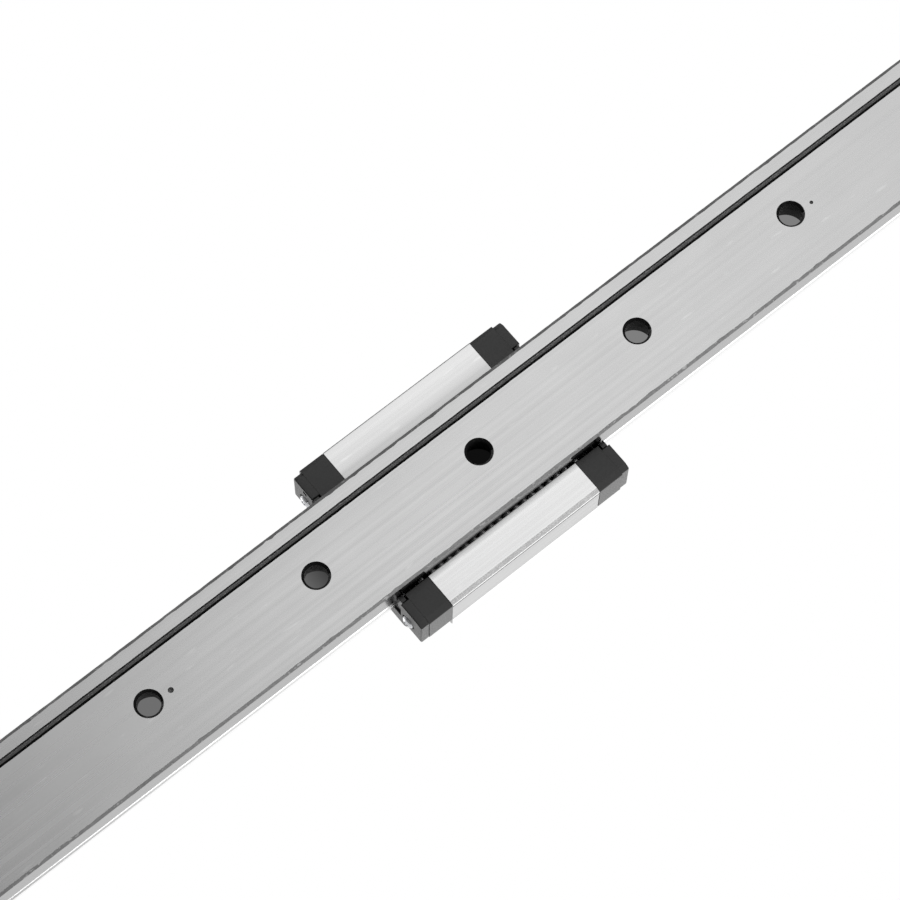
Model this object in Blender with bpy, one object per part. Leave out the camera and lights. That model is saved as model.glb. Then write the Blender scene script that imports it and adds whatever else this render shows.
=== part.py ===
"""Miniature linear guide of the wide type: an 18 mm rail and one recirculating ball carriage.

+X runs along the rail, +Z points from the rail's base to the carriage's top,
and the origin is the middle of the rail's base. The front of the carriage is its +X end,
and its left side is +Y.
"""

import math

import bmesh
import bpy
from mathutils import Matrix, Vector

MM = 0.001

# Rail
RAIL_WIDTH = 18.0 * MM
RAIL_HEIGHT = 7.0 * MM
RAIL_LENGTH = 200.0 * MM
HOLE_PITCH = 30.0 * MM
END_DISTANCE = 10.0 * MM
BORE_DIAMETER = 3.5 * MM
COUNTERBORE_DIAMETER = 6.0 * MM
COUNTERBORE_DEPTH = 4.5 * MM
BORE_CHAMFER = 0.4 * MM
BASE_CHAMFER = 0.4 * MM
TOP_CHAMFER = 0.35 * MM
DATUM_GROOVE_RADIUS = 0.53 * MM
DATUM_GROOVE_INSET = 2.9 * MM

# Balls and their raceways
BALL_DIAMETER = 1.588 * MM
BALL_SQUEEZE = 0.028 * MM
RACEWAY_DROP = 1.95 * MM
RACEWAY_CLEARANCE = 0.05 * MM
GOTHIC_SHIFT = 0.02 * MM
RETURN_CLEARANCE = 0.11 * MM
ROW_END_CLEARANCE = 0.05 * MM

# Carriage
CARRIAGE_X = -3.3 * MM
RUNNING_GAP = 0.45 * MM
ROOF_GAP = 0.45 * MM
ROOF_THICKNESS = 4.55 * MM
WING_WIDTH = 5.55 * MM
SKIRT_DROP = 2.15 * MM
BLOCK_LENGTH = 27.5 * MM
FLANK_WALL = 1.15 * MM
FLANK_INSET = 0.15 * MM
GROUND_FLANK_HEIGHT = 3.2 * MM
SKIRT_CHAMFER_WIDTH = 0.95 * MM
SKIRT_CHAMFER_HEIGHT = 0.42 * MM
BLOCK_TOP_CHAMFER = 0.4 * MM
CHANNEL_CHAMFER = 0.2 * MM
TAPPED_DIAMETER = 2.5 * MM
TAPPED_DEPTH = 3.0 * MM
TAPPED_CHAMFER = 0.25 * MM
TAPPED_SPACING_X = 12.0 * MM
TAPPED_SPACING_Y = 21.0 * MM

# End caps, seals and what holds them
SEAT_GAP = 0.05 * MM
CAP_LENGTH = 4.25 * MM
CAP_CHANNEL_GAP = 0.75 * MM
CAP_CHANNEL_CHAMFER = 0.3 * MM
CAP_TOP_DROP = 0.6 * MM
CAP_LEDGE_DROP = 2.5 * MM
CAP_LEDGE_WIDTH = 2.8 * MM
CAP_SHOULDER_RUN = 1.0 * MM
CAP_EDGE_CHAMFER = 0.4 * MM
SEAL_THICKNESS = 1.4 * MM
SEAL_INSET = 0.4 * MM
LIP_GAP = 0.08 * MM
LIP_WIDTH = 1.2 * MM
LIP_ROOF_WIDTH = 0.75 * MM
LIP_THICKNESS = 0.8 * MM
LIP_NOSE = 0.4 * MM
SCREW_DIAMETER = 1.6 * MM
SCREW_CLEARANCE = 0.1 * MM
SCREW_GRIP = 3.0 * MM
HEAD_DIAMETER = 2.5 * MM
HEAD_HEIGHT = 1.0 * MM
HEAD_RECESS = 0.5 * MM
SCREW_RISE_WALL = 0.15 * MM
PLUG_DIAMETER = 2.0 * MM
PLUG_LENGTH = 2.6 * MM
PLUG_RECESS = 0.2 * MM

# Wires that keep the loaded balls in the carriage
WIRE_DIAMETER = 0.4 * MM
WIRE_CLEARANCE = 0.1 * MM
WIRE_SLOT_WIDTH = 0.7 * MM
WIRE_HOOK = 2.3 * MM
WIRE_BEND_RADIUS = 0.5 * MM

# How far a cutting tool runs past the face that it cuts
PAST = 1.0 * MM

# Facets
HOLE_SIDES = 24
SMALL_HOLE_SIDES = 16
BALL_SIDES = 8
ARC_STEPS = 5
GROOVE_STEPS = 6

# Sizes that follow from the ones above
BALL_RADIUS = BALL_DIAMETER / 2
BALL_PITCH = BALL_DIAMETER - BALL_SQUEEZE
RACEWAY_RADIUS = BALL_RADIUS + RACEWAY_CLEARANCE
RETURN_RADIUS = BALL_RADIUS + RETURN_CLEARANCE
RACE_Z = RAIL_HEIGHT - RACEWAY_DROP
RAIL_HALF = RAIL_WIDTH / 2
LOADED_Y = RAIL_HALF + RUNNING_GAP / 2
WIRE_Y = LOADED_Y - BALL_RADIUS - WIRE_CLEARANCE / 2 - WIRE_DIAMETER / 2
CHANNEL_HALF = RAIL_HALF + RUNNING_GAP
CARRIAGE_HALF = CHANNEL_HALF + WING_WIDTH
RETURN_Y = CARRIAGE_HALF - FLANK_WALL - RETURN_RADIUS
TURN_RADIUS = (RETURN_Y - LOADED_Y) / 2
TURN_Y = (RETURN_Y + LOADED_Y) / 2
ROOF_Z = RAIL_HEIGHT + ROOF_GAP
CARRIAGE_TOP = ROOF_Z + ROOF_THICKNESS
SKIRT_Z = RACE_Z - SKIRT_DROP
BLOCK_END = BLOCK_LENGTH / 2
CAP_INNER = BLOCK_END + SEAT_GAP
CAP_OUTER = CAP_INNER + CAP_LENGTH
SEAL_INNER = CAP_OUTER + SEAT_GAP
SEAL_OUTER = SEAL_INNER + SEAL_THICKNESS
CAP_TOP = CARRIAGE_TOP - CAP_TOP_DROP
CAP_LEDGE = CARRIAGE_TOP - CAP_LEDGE_DROP
CAP_CHANNEL_HALF = RAIL_HALF + CAP_CHANNEL_GAP
SCREW_RADIUS = SCREW_DIAMETER / 2
HEAD_RADIUS = HEAD_DIAMETER / 2
SCREW_Y = TURN_Y + SCREW_RADIUS
SCREW_Z = RACE_Z + RETURN_RADIUS + SCREW_RISE_WALL + SCREW_CLEARANCE + SCREW_RADIUS
PLUG_Z = (ROOF_Z + CAP_TOP) / 2
TURN_ANGLE = 2 * math.asin(BALL_PITCH / 2 / TURN_RADIUS)
TURN_COUNT = int(math.pi / TURN_ANGLE) + 1
TURN_END_X = TURN_RADIUS * math.cos((TURN_COUNT - 1) / 2 * TURN_ANGLE)
ROW_ROOM = BLOCK_LENGTH - 2 * (BALL_DIAMETER + ROW_END_CLEARANCE - TURN_END_X)
ROW_COUNT = int(ROW_ROOM / BALL_PITCH) + 1
HOLE_COUNT = int((RAIL_LENGTH - 2 * END_DISTANCE) / HOLE_PITCH + 1e-6) + 1


def clear_scene():
    for old in list(bpy.data.objects):
        bpy.data.objects.remove(old, do_unlink=True)


def material(name, color, roughness, metallic):
    made = bpy.data.materials.new(name)
    made.use_nodes = True
    shader = made.node_tree.nodes["Principled BSDF"]
    shader.inputs["Base Color"].default_value = (*color, 1.0)
    shader.inputs["Roughness"].default_value = roughness
    shader.inputs["Metallic"].default_value = metallic
    return made


def mesh_from(bm, name):
    bmesh.ops.recalc_face_normals(bm, faces=bm.faces)
    mesh = bpy.data.meshes.new(name)
    bm.to_mesh(mesh)
    bm.free()
    return mesh


def placed(name, mesh, finish, parent=None, place=(0, 0, 0), turn=(0, 0, 0)):
    made = bpy.data.objects.new(name, mesh)
    bpy.context.collection.objects.link(made)
    made.location = place
    made.rotation_euler = turn
    made.parent = parent
    if not mesh.materials:
        mesh.materials.append(finish)
    mesh.shade_smooth()
    mesh.set_sharp_from_angle(angle=math.radians(30))
    return made


def loft(name, rings):
    """A closed solid through rings of (x, outline) whose outlines have equally many (y, z) points."""
    bm = bmesh.new()
    loops = [[bm.verts.new((x, y, z)) for y, z in outline] for x, outline in rings]
    count = len(loops[0])
    for near, far in zip(loops, loops[1:]):
        for i in range(count):
            bm.faces.new((near[i], near[(i + 1) % count], far[(i + 1) % count], far[i]))
    bm.faces.new(loops[0])
    bm.faces.new(loops[-1])
    return mesh_from(bm, name)


def turned(name, profile, sides, angle=math.tau):
    """A solid turned about Z from a profile of (radius, height) points that starts and ends on the axis."""
    bm = bmesh.new()
    whole = abs(angle - math.tau) < 1e-9
    steps = sides if whole else sides + 1
    start = -angle / 2
    first = bm.verts.new((0, 0, profile[0][1]))
    last = bm.verts.new((0, 0, profile[-1][1]))
    columns = []
    for step in range(steps):
        a = start + angle * step / sides
        column = [bm.verts.new((r * math.cos(a), r * math.sin(a), h)) for r, h in profile[1:-1]]
        columns.append([first] + column + [last])
    pairs = list(zip(columns, columns[1:]))
    if whole:
        pairs.append((columns[-1], columns[0]))
    for one, two in pairs:
        for i in range(len(profile) - 1):
            corners = [one[i], one[i + 1], two[i + 1], two[i]]
            bm.faces.new(list(dict.fromkeys(corners)))
    if not whole:
        bm.faces.new(columns[0])
        bm.faces.new(columns[-1])
    return mesh_from(bm, name)


def box(name, low, high):
    outline = [(low[1], low[2]), (high[1], low[2]), (high[1], high[2]), (low[1], high[2])]
    return loft(name, [(low[0], outline), (high[0], outline)])


def along_x(place):
    """The placing that turns a solid made about Z so that it lies along X."""
    return Matrix.Translation(Vector(place)) @ Matrix.Rotation(math.pi / 2, 4, "Y")


def upright(place):
    return Matrix.Translation(Vector(place))


def carved(name, mesh, cutters):
    """The mesh left after each (cutter mesh, placing) is cut out of it."""
    body = bpy.data.objects.new(name, mesh)
    bpy.context.collection.objects.link(body)
    tools = []
    for number, (cutter, placing) in enumerate(cutters):
        tool = bpy.data.objects.new(f"{name}_cutter_{number}", cutter)
        bpy.context.collection.objects.link(tool)
        tool.matrix_world = placing
        tool.hide_render = True
        tool.display_type = "WIRE"
        cut = body.modifiers.new(tool.name, "BOOLEAN")
        cut.operation = "DIFFERENCE"
        cut.solver = "EXACT"
        cut.object = tool
        tools.append(tool)
    bpy.context.view_layer.update()
    result = bpy.data.meshes.new_from_object(
        body.evaluated_get(bpy.context.evaluated_depsgraph_get())
    )
    result.name = name
    for used in [body, *tools]:
        bpy.data.objects.remove(used, do_unlink=True)
    return result


def cylinder(name, radius, low, high, sides):
    return turned(name, [(0, low), (radius, low), (radius, high), (0, high)], sides)


def mirrored(points):
    """The same points on the other side of the XZ plane, in the opposite order."""
    return [(-y, z) for y, z in reversed(points)]


def gothic_arc(side, from_z, to_z):
    """One flank of a gothic raceway, from height from_z to to_z about the ball row's centre.

    side is -1 for the rail's groove and +1 for the carriage's. Each flank is an arc
    whose centre is shifted past the ball's, which gives the ball its 45 degree contact.
    """
    shift = -GOTHIC_SHIFT if (from_z + to_z) > 0 else GOTHIC_SHIFT
    first = math.asin((from_z - shift) / RACEWAY_RADIUS)
    last = math.asin((to_z - shift) / RACEWAY_RADIUS)
    points = []
    for step in range(ARC_STEPS + 1):
        a = first + (last - first) * step / ARC_STEPS
        y = LOADED_Y + side * RACEWAY_RADIUS * math.cos(a)
        points.append((y, RACE_Z + shift + RACEWAY_RADIUS * math.sin(a)))
    return points


def raceway(side, wall_y):
    """The whole raceway on one wall, from below to above, with its small relief at the bottom."""
    reach = abs(LOADED_Y - wall_y)
    mouth = math.sqrt(RACEWAY_RADIUS**2 - reach**2) - GOTHIC_SHIFT
    relief = WIRE_SLOT_WIDTH / 2
    lower = gothic_arc(side, -mouth, -relief)
    upper = gothic_arc(side, relief, mouth)
    if side > 0:
        return lower + upper
    slot_y = WIRE_Y - WIRE_DIAMETER / 2 - WIRE_CLEARANCE
    return lower + [(slot_y, RACE_Z - relief), (slot_y, RACE_Z + relief)] + upper


def rail_outline():
    side = [(RAIL_HALF - BASE_CHAMFER, 0), (RAIL_HALF, BASE_CHAMFER)]
    side += raceway(-1, RAIL_HALF)
    side += [(RAIL_HALF, RAIL_HEIGHT - TOP_CHAMFER), (RAIL_HALF - TOP_CHAMFER, RAIL_HEIGHT)]
    middle = -RAIL_HALF + DATUM_GROOVE_INSET
    groove = []
    for step in range(GROOVE_STEPS + 1):
        a = math.pi * step / GROOVE_STEPS
        across = -DATUM_GROOVE_RADIUS * math.cos(a)
        groove.append((middle + across, DATUM_GROOVE_RADIUS * math.sin(a)))
    return groove + side + mirrored(side)


def hole_places():
    first = -(HOLE_COUNT - 1) / 2 * HOLE_PITCH
    return [first + number * HOLE_PITCH for number in range(HOLE_COUNT)]


def rail_hole():
    """The solid that leaves a counterbored hole with a chamfer on the base side."""
    bore = BORE_DIAMETER / 2
    counterbore = COUNTERBORE_DIAMETER / 2
    floor = RAIL_HEIGHT - COUNTERBORE_DEPTH
    profile = [
        (0, -PAST),
        (bore + BORE_CHAMFER + PAST, -PAST),
        (bore, BORE_CHAMFER),
        (bore, floor),
        (counterbore, floor),
        (counterbore, RAIL_HEIGHT + PAST),
        (0, RAIL_HEIGHT + PAST),
    ]
    return turned("rail_hole", profile, HOLE_SIDES)


def make_rail(steel):
    outline = rail_outline()
    blank = loft("guide_rail", [(-RAIL_LENGTH / 2, outline), (RAIL_LENGTH / 2, outline)])
    hole = rail_hole()
    mesh = carved("guide_rail", blank, [(hole, upright((x, 0, 0))) for x in hole_places()])
    return placed("guide_rail", mesh, steel)


def block_outline():
    flank = CARRIAGE_HALF - FLANK_INSET
    step = CARRIAGE_TOP - GROUND_FLANK_HEIGHT
    outer = [
        (CHANNEL_HALF + CHANNEL_CHAMFER, SKIRT_Z),
        (flank - SKIRT_CHAMFER_WIDTH, SKIRT_Z),
        (flank, SKIRT_Z + SKIRT_CHAMFER_HEIGHT),
        (flank, step - FLANK_INSET),
        (CARRIAGE_HALF, step),
        (CARRIAGE_HALF, CARRIAGE_TOP - BLOCK_TOP_CHAMFER),
        (CARRIAGE_HALF - BLOCK_TOP_CHAMFER, CARRIAGE_TOP),
    ]
    inner = [(CHANNEL_HALF, SKIRT_Z + CHANNEL_CHAMFER)] + raceway(1, CHANNEL_HALF)
    inner += [(CHANNEL_HALF, ROOF_Z - CHANNEL_CHAMFER), (CHANNEL_HALF - CHANNEL_CHAMFER, ROOF_Z)]
    return outer + mirrored(outer) + [(-y, z) for y, z in inner] + list(reversed(inner))


def tapped_hole():
    """A blind hole whose mouth is at height 0 and widens into a chamfer."""
    radius = TAPPED_DIAMETER / 2
    profile = [
        (0, -TAPPED_DEPTH - radius / 2),
        (radius, -TAPPED_DEPTH),
        (radius, -TAPPED_CHAMFER),
        (radius + TAPPED_CHAMFER + PAST, PAST),
        (0, PAST),
    ]
    return turned("tapped_hole", profile, SMALL_HOLE_SIDES)


def make_block(steel, parent):
    outline = block_outline()
    blank = loft("carriage_block", [(-BLOCK_END, outline), (BLOCK_END, outline)])
    bore_reach = BLOCK_END + PAST
    return_bore = cylinder("return_bore", RETURN_RADIUS, -bore_reach, bore_reach, SMALL_HOLE_SIDES)
    thread_depth = SCREW_GRIP + PAST
    thread = cylinder("thread", SCREW_RADIUS + SEAT_GAP, -thread_depth, PAST, SMALL_HOLE_SIDES)
    cutters = []
    for side in (1, -1):
        cutters.append((return_bore, along_x((0, side * RETURN_Y, RACE_Z))))
        for end in (0, math.pi):
            turn = Matrix.Rotation(end, 4, "Z")
            cutters.append((thread, turn @ along_x((BLOCK_END, side * SCREW_Y, SCREW_Z))))
    tapped = tapped_hole()
    for x in (-TAPPED_SPACING_X / 2, TAPPED_SPACING_X / 2):
        for y in (-TAPPED_SPACING_Y / 2, TAPPED_SPACING_Y / 2):
            cutters.append((tapped, upright((x, y, CARRIAGE_TOP))))
    mesh = carved("carriage_block", blank, cutters)
    return placed("carriage_block", mesh, steel, parent)


def saddle_outline(half, top, channel_half, channel_roof, inset):
    """A plate that straddles the rail, drawn in by inset on its outer edges.

    Each wing has a flat ledge on top, and from there a steep shoulder rises to the middle.
    """
    skirt = SKIRT_Z + inset / 2
    foot = half - CAP_LEDGE_WIDTH - inset / 2
    outer = [
        (channel_half + CAP_CHANNEL_CHAMFER, skirt),
        (half - SKIRT_CHAMFER_WIDTH, skirt),
        (half - inset, SKIRT_Z + SKIRT_CHAMFER_HEIGHT + inset / 2),
        (half - inset, CAP_LEDGE - inset),
        (foot, CAP_LEDGE - inset),
        (foot - CAP_SHOULDER_RUN, top - inset),
    ]
    inner = [(channel_half, SKIRT_Z + CAP_CHANNEL_CHAMFER), (channel_half, channel_roof)]
    return outer + mirrored(outer) + [(-y, z) for y, z in inner] + list(reversed(inner))


def turn_pocket():
    """The ball turn with room for the return guide inside it: a fat half ring about Z."""
    profile = [(0, -RETURN_RADIUS)]
    steps = 2 * ARC_STEPS - 2
    for step in range(steps + 1):
        a = math.pi * (step / steps - 0.5)
        profile.append((TURN_RADIUS + RETURN_RADIUS * math.cos(a), RETURN_RADIUS * math.sin(a)))
    profile.append((0, RETURN_RADIUS))
    return turned("turn_pocket", profile, HOLE_SIDES)


def cap_cutters():
    pocket = turn_pocket()
    clearance = SCREW_RADIUS + SCREW_CLEARANCE
    shank = cylinder("shank_hole", clearance, -PAST, CAP_LENGTH + PAST, SMALL_HOLE_SIDES)
    plug_depth = PLUG_RECESS + PLUG_LENGTH + SEAT_GAP
    plug = cylinder("plug_hole", PLUG_DIAMETER / 2 + SEAT_GAP, -plug_depth, PAST, SMALL_HOLE_SIDES)
    hook_room = WIRE_DIAMETER / 2 + WIRE_CLEARANCE
    hook = box(
        "hook_slot",
        (CAP_OUTER - WIRE_DIAMETER - 2 * WIRE_CLEARANCE, LOADED_Y, RACE_Z - hook_room),
        (CAP_OUTER + PAST, WIRE_Y + WIRE_HOOK + WIRE_CLEARANCE, RACE_Z + hook_room),
    )
    cutters = [(plug, along_x((SEAL_OUTER, 0, PLUG_Z)))]
    for side in (1, -1):
        cutters.append((pocket, upright((CAP_INNER, side * TURN_Y, RACE_Z))))
        cutters.append((shank, along_x((CAP_INNER, side * SCREW_Y, SCREW_Z))))
    cutters.append((hook, Matrix.Identity(4)))
    cutters.append((hook, Matrix.Rotation(math.pi, 4, "X") @ upright((0, 0, -2 * RACE_Z))))
    return cutters


def cap_mesh():
    def outline(inset):
        return saddle_outline(CARRIAGE_HALF, CAP_TOP, CAP_CHANNEL_HALF, ROOF_Z, inset)

    rings = [
        (CAP_INNER, outline(0)),
        (CAP_OUTER - CAP_EDGE_CHAMFER, outline(0)),
        (CAP_OUTER, outline(CAP_EDGE_CHAMFER)),
    ]
    return carved("end_cap", loft("end_cap", rings), cap_cutters())


def seal_plate_mesh():
    def outline(inset):
        return saddle_outline(
            CARRIAGE_HALF - SEAL_INSET,
            CAP_TOP - SEAL_INSET,
            RAIL_HALF + LIP_GAP + LIP_WIDTH + SEAT_GAP,
            RAIL_HEIGHT + LIP_GAP + LIP_ROOF_WIDTH + SEAT_GAP,
            inset,
        )

    edge = CAP_EDGE_CHAMFER / 2
    rings = [
        (SEAL_INNER, outline(edge)),
        (SEAL_INNER + edge, outline(0)),
        (SEAL_OUTER - edge, outline(0)),
        (SEAL_OUTER, outline(edge)),
    ]
    through = SEAL_THICKNESS + PAST
    shank_room = SCREW_RADIUS + SCREW_CLEARANCE
    head_room = HEAD_RADIUS + SCREW_CLEARANCE
    plug_room = PLUG_DIAMETER / 2 + SEAT_GAP
    shank = cylinder("shank_hole", shank_room, -through, PAST, SMALL_HOLE_SIDES)
    recess = cylinder("head_recess", head_room, -HEAD_RECESS, PAST, SMALL_HOLE_SIDES)
    plug = cylinder("plug_hole", plug_room, -through, PAST, SMALL_HOLE_SIDES)
    cutters = [(plug, along_x((SEAL_OUTER, 0, PLUG_Z)))]
    for side in (1, -1):
        cutters.append((shank, along_x((SEAL_OUTER, side * SCREW_Y, SCREW_Z))))
        cutters.append((recess, along_x((SEAL_OUTER, side * SCREW_Y, SCREW_Z))))
    return carved("seal_plate", loft("seal_plate", rings), cutters)


def seal_lip_mesh():
    """The rubber lip: a strip that follows the rail's sides and top and has a nose in each raceway."""
    near = RAIL_HALF + LIP_GAP
    far = near + LIP_WIDTH
    skirt = SKIRT_Z + CAP_EDGE_CHAMFER / 2
    mouth = RACEWAY_RADIUS
    outer = [(near, skirt), (far, skirt), (far, RAIL_HEIGHT + LIP_GAP + LIP_ROOF_WIDTH)]
    inner = [
        (near, RACE_Z - mouth),
        (near - LIP_NOSE, RACE_Z - mouth / 2),
        (near - LIP_NOSE, RACE_Z + mouth / 2),
        (near, RACE_Z + mouth),
        (near, RAIL_HEIGHT + LIP_GAP),
    ]
    outline = outer + mirrored(outer) + [(-y, z) for y, z in inner] + list(reversed(inner))
    middle = (SEAL_INNER + SEAL_OUTER) / 2
    return loft(
        "seal_lip", [(middle - LIP_THICKNESS / 2, outline), (middle + LIP_THICKNESS / 2, outline)]
    )


def return_guide_mesh():
    """Half a spool whose rim is the inner wall of the ball turn. Its flat side faces the block."""
    half = RETURN_RADIUS - SEAT_GAP
    first = math.asin(half / RETURN_RADIUS)
    profile = [(0, -half)]
    for step in range(ARC_STEPS + 1):
        a = first * (2 * step / ARC_STEPS - 1)
        profile.append((TURN_RADIUS - RETURN_RADIUS * math.cos(a), RETURN_RADIUS * math.sin(a)))
    profile.append((0, half))
    return turned("return_guide", profile, SMALL_HOLE_SIDES, math.pi)


def screw_mesh():
    """A pan head screw along Z with its seat at height 0 and its shank pointing down."""
    shank = SEAL_THICKNESS - HEAD_RECESS + SEAT_GAP + CAP_LENGTH + SEAT_GAP + SCREW_GRIP
    crown = HEAD_HEIGHT / 3
    profile = [
        (0, -shank),
        (SCREW_RADIUS * 0.7, -shank),
        (SCREW_RADIUS, -shank + SCREW_RADIUS * 0.3),
        (SCREW_RADIUS, SEAT_GAP),
        (HEAD_RADIUS, SEAT_GAP),
        (HEAD_RADIUS, HEAD_HEIGHT - crown),
        (HEAD_RADIUS * 0.85, HEAD_HEIGHT - crown / 3),
        (HEAD_RADIUS * 0.5, HEAD_HEIGHT),
        (0, HEAD_HEIGHT),
    ]
    return turned("end_cap_screw", profile, SMALL_HOLE_SIDES)


def plug_mesh():
    radius = PLUG_DIAMETER / 2
    edge = radius / 5
    profile = [
        (0, -PLUG_LENGTH),
        (radius - edge, -PLUG_LENGTH),
        (radius, -PLUG_LENGTH + edge),
        (radius, -edge),
        (radius - edge, 0),
        (0, 0),
    ]
    return turned("grease_plug", profile, SMALL_HOLE_SIDES)


def bead_row(name, count, spot):
    """Balls that just touch, as one body: rings of growing and shrinking radius along a path.

    spot(s) gives the path's point and direction at the length s from its middle.
    """
    stations = []
    neck = math.sqrt(BALL_RADIUS**2 - (BALL_PITCH / 2) ** 2)
    for number in range(count):
        middle = (number - (count - 1) / 2) * BALL_PITCH
        if number:
            stations.append((middle - BALL_PITCH / 2, neck))
        for latitude in (math.radians(-45), 0, math.radians(45)):
            stations.append(
                (middle + BALL_RADIUS * math.sin(latitude), BALL_RADIUS * math.cos(latitude))
            )
    reach = (count - 1) / 2 * BALL_PITCH + BALL_RADIUS
    bm = bmesh.new()
    rings = []
    for s, radius in stations:
        centre, direction = spot(s)
        across = direction.cross(Vector((0, 0, 1))).normalized()
        ring = []
        for side in range(BALL_SIDES):
            a = math.tau * (side + 0.5) / BALL_SIDES
            offset = across * math.cos(a) + Vector((0, 0, 1)) * math.sin(a)
            ring.append(bm.verts.new(centre + offset * radius))
        rings.append(ring)
    for one, two in zip(rings, rings[1:]):
        for i in range(BALL_SIDES):
            j = (i + 1) % BALL_SIDES
            bm.faces.new((one[i], one[j], two[j], two[i]))
    for ring, s in ((rings[0], -reach), (rings[-1], reach)):
        pole = bm.verts.new(spot(s)[0])
        for i in range(BALL_SIDES):
            bm.faces.new((ring[i], ring[(i + 1) % BALL_SIDES], pole))
    return mesh_from(bm, name)


def straight(s):
    return Vector((s, 0, 0)), Vector((1, 0, 0))


def round_turn(s):
    """A point on the half circle of the turn, where s counts along the chords between balls."""
    a = s / BALL_PITCH * TURN_ANGLE
    point = Vector((math.cos(a), math.sin(a), 0)) * TURN_RADIUS
    return point, Vector((-math.sin(a), math.cos(a), 0))


def wire_path():
    """Half of the wire's centre line from its middle to its hooked end, in the XY plane."""
    straight_end = CAP_OUTER - WIRE_DIAMETER / 2 - WIRE_CLEARANCE
    bend = Vector((straight_end - WIRE_BEND_RADIUS, WIRE_BEND_RADIUS, 0))
    points = []
    for step in range(ARC_STEPS + 1):
        a = math.pi / 2 * (step / ARC_STEPS - 1)
        points.append(bend + Vector((math.cos(a), math.sin(a), 0)) * WIRE_BEND_RADIUS)
    points.append(Vector((straight_end, WIRE_HOOK, 0)))
    return points


def wire_mesh():
    half = wire_path()
    points = [Vector((-p.x, p.y, 0)) for p in reversed(half)] + half
    bm = bmesh.new()
    rings = []
    for i, point in enumerate(points):
        before = points[max(i - 1, 0)]
        after = points[min(i + 1, len(points) - 1)]
        across = (after - before).normalized().cross(Vector((0, 0, 1)))
        ring = []
        for side in range(BALL_SIDES):
            a = math.tau * side / BALL_SIDES
            offset = across * math.cos(a) + Vector((0, 0, 1)) * math.sin(a)
            ring.append(bm.verts.new(point + offset * WIRE_DIAMETER / 2))
        rings.append(ring)
    for one, two in zip(rings, rings[1:]):
        for i in range(BALL_SIDES):
            j = (i + 1) % BALL_SIDES
            bm.faces.new((one[i], one[j], two[j], two[i]))
    bm.faces.new(rings[0])
    bm.faces.new(rings[-1])
    return mesh_from(bm, "ball_retainer")


def make_ends(parent, finishes):
    """Both ends of the carriage. The rear one is the front one turned half round."""
    cap = cap_mesh()
    plate = seal_plate_mesh()
    lip = seal_lip_mesh()
    guide = return_guide_mesh()
    screw = screw_mesh()
    plug = plug_mesh()
    turn_balls = bead_row("turn_balls", TURN_COUNT, round_turn)
    for end, angle in (("front", 0.0), ("rear", math.pi)):
        pivot = bpy.data.objects.new(f"{end}_end", None)
        bpy.context.collection.objects.link(pivot)
        pivot.parent = parent
        pivot.rotation_euler = (0, 0, angle)
        placed(f"end_cap_{end}", cap, finishes["plastic"], pivot)
        placed(f"end_seal_plate_{end}", plate, finishes["plastic"], pivot)
        placed(f"end_seal_lip_{end}", lip, finishes["rubber"], pivot)
        plug_place = (SEAL_OUTER - PLUG_RECESS, 0, PLUG_Z)
        placed(f"grease_plug_{end}", plug, finishes["zinc"], pivot, plug_place, (0, math.pi / 2, 0))
        for side, sign in (("left", 1), ("right", -1)):
            sign = sign if angle == 0 else -sign
            turn_place = (CAP_INNER + SEAT_GAP, sign * TURN_Y, RACE_Z)
            placed(f"return_guide_{end}_{side}", guide, finishes["plastic"], pivot, turn_place)
            placed(f"turn_balls_{end}_{side}", turn_balls, finishes["chrome"], pivot, turn_place)
            seat = (SEAL_OUTER - HEAD_RECESS, sign * SCREW_Y, SCREW_Z)
            name = f"end_cap_screw_{end}_{side}"
            placed(name, screw, finishes["zinc"], pivot, seat, (0, math.pi / 2, 0))


def make_ball_rows(parent, finishes):
    row = bead_row("ball_row", ROW_COUNT, straight)
    wire = wire_mesh()
    for side, sign in (("left", 1), ("right", -1)):
        flip = (0, 0, 0) if sign > 0 else (math.pi, 0, 0)
        loaded_place = (0, sign * LOADED_Y, RACE_Z)
        return_place = (0, sign * RETURN_Y, RACE_Z)
        wire_place = (0, sign * WIRE_Y, RACE_Z)
        placed(f"loaded_balls_{side}", row, finishes["chrome"], parent, loaded_place)
        placed(f"return_balls_{side}", row, finishes["chrome"], parent, return_place)
        placed(f"ball_retainer_{side}", wire, finishes["zinc"], parent, wire_place, flip)


def build():
    clear_scene()
    finishes = {
        "rail": material("ground rail steel", (0.60, 0.60, 0.60), 0.32, 1.0),
        "block": material("ground block steel", (0.72, 0.72, 0.72), 0.38, 1.0),
        "plastic": material("black moulded plastic", (0.03, 0.03, 0.03), 0.55, 0.0),
        "rubber": material("black seal rubber", (0.015, 0.015, 0.015), 0.75, 0.0),
        "zinc": material("plated fastener steel", (0.75, 0.75, 0.74), 0.3, 1.0),
        "chrome": material("bearing ball steel", (0.8, 0.8, 0.8), 0.08, 1.0),
    }
    make_rail(finishes["rail"])
    slider = bpy.data.objects.new("carriage_slider", None)
    bpy.context.collection.objects.link(slider)
    slider.location = (CARRIAGE_X, 0, 0)
    make_block(finishes["block"], slider)
    make_ends(slider, finishes)
    make_ball_rows(slider, finishes)


build()
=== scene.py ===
# %% [markdown]
# A miniature linear guide is a hardened steel rail and a carriage that rolls along it on
# small balls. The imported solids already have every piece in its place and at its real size,
# so they come first, as a fixed frame. Everything made below is fitted to them.

# %% Load the frame
import math
import random

import bmesh
import bpy
from mathutils import Matrix, Vector


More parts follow.
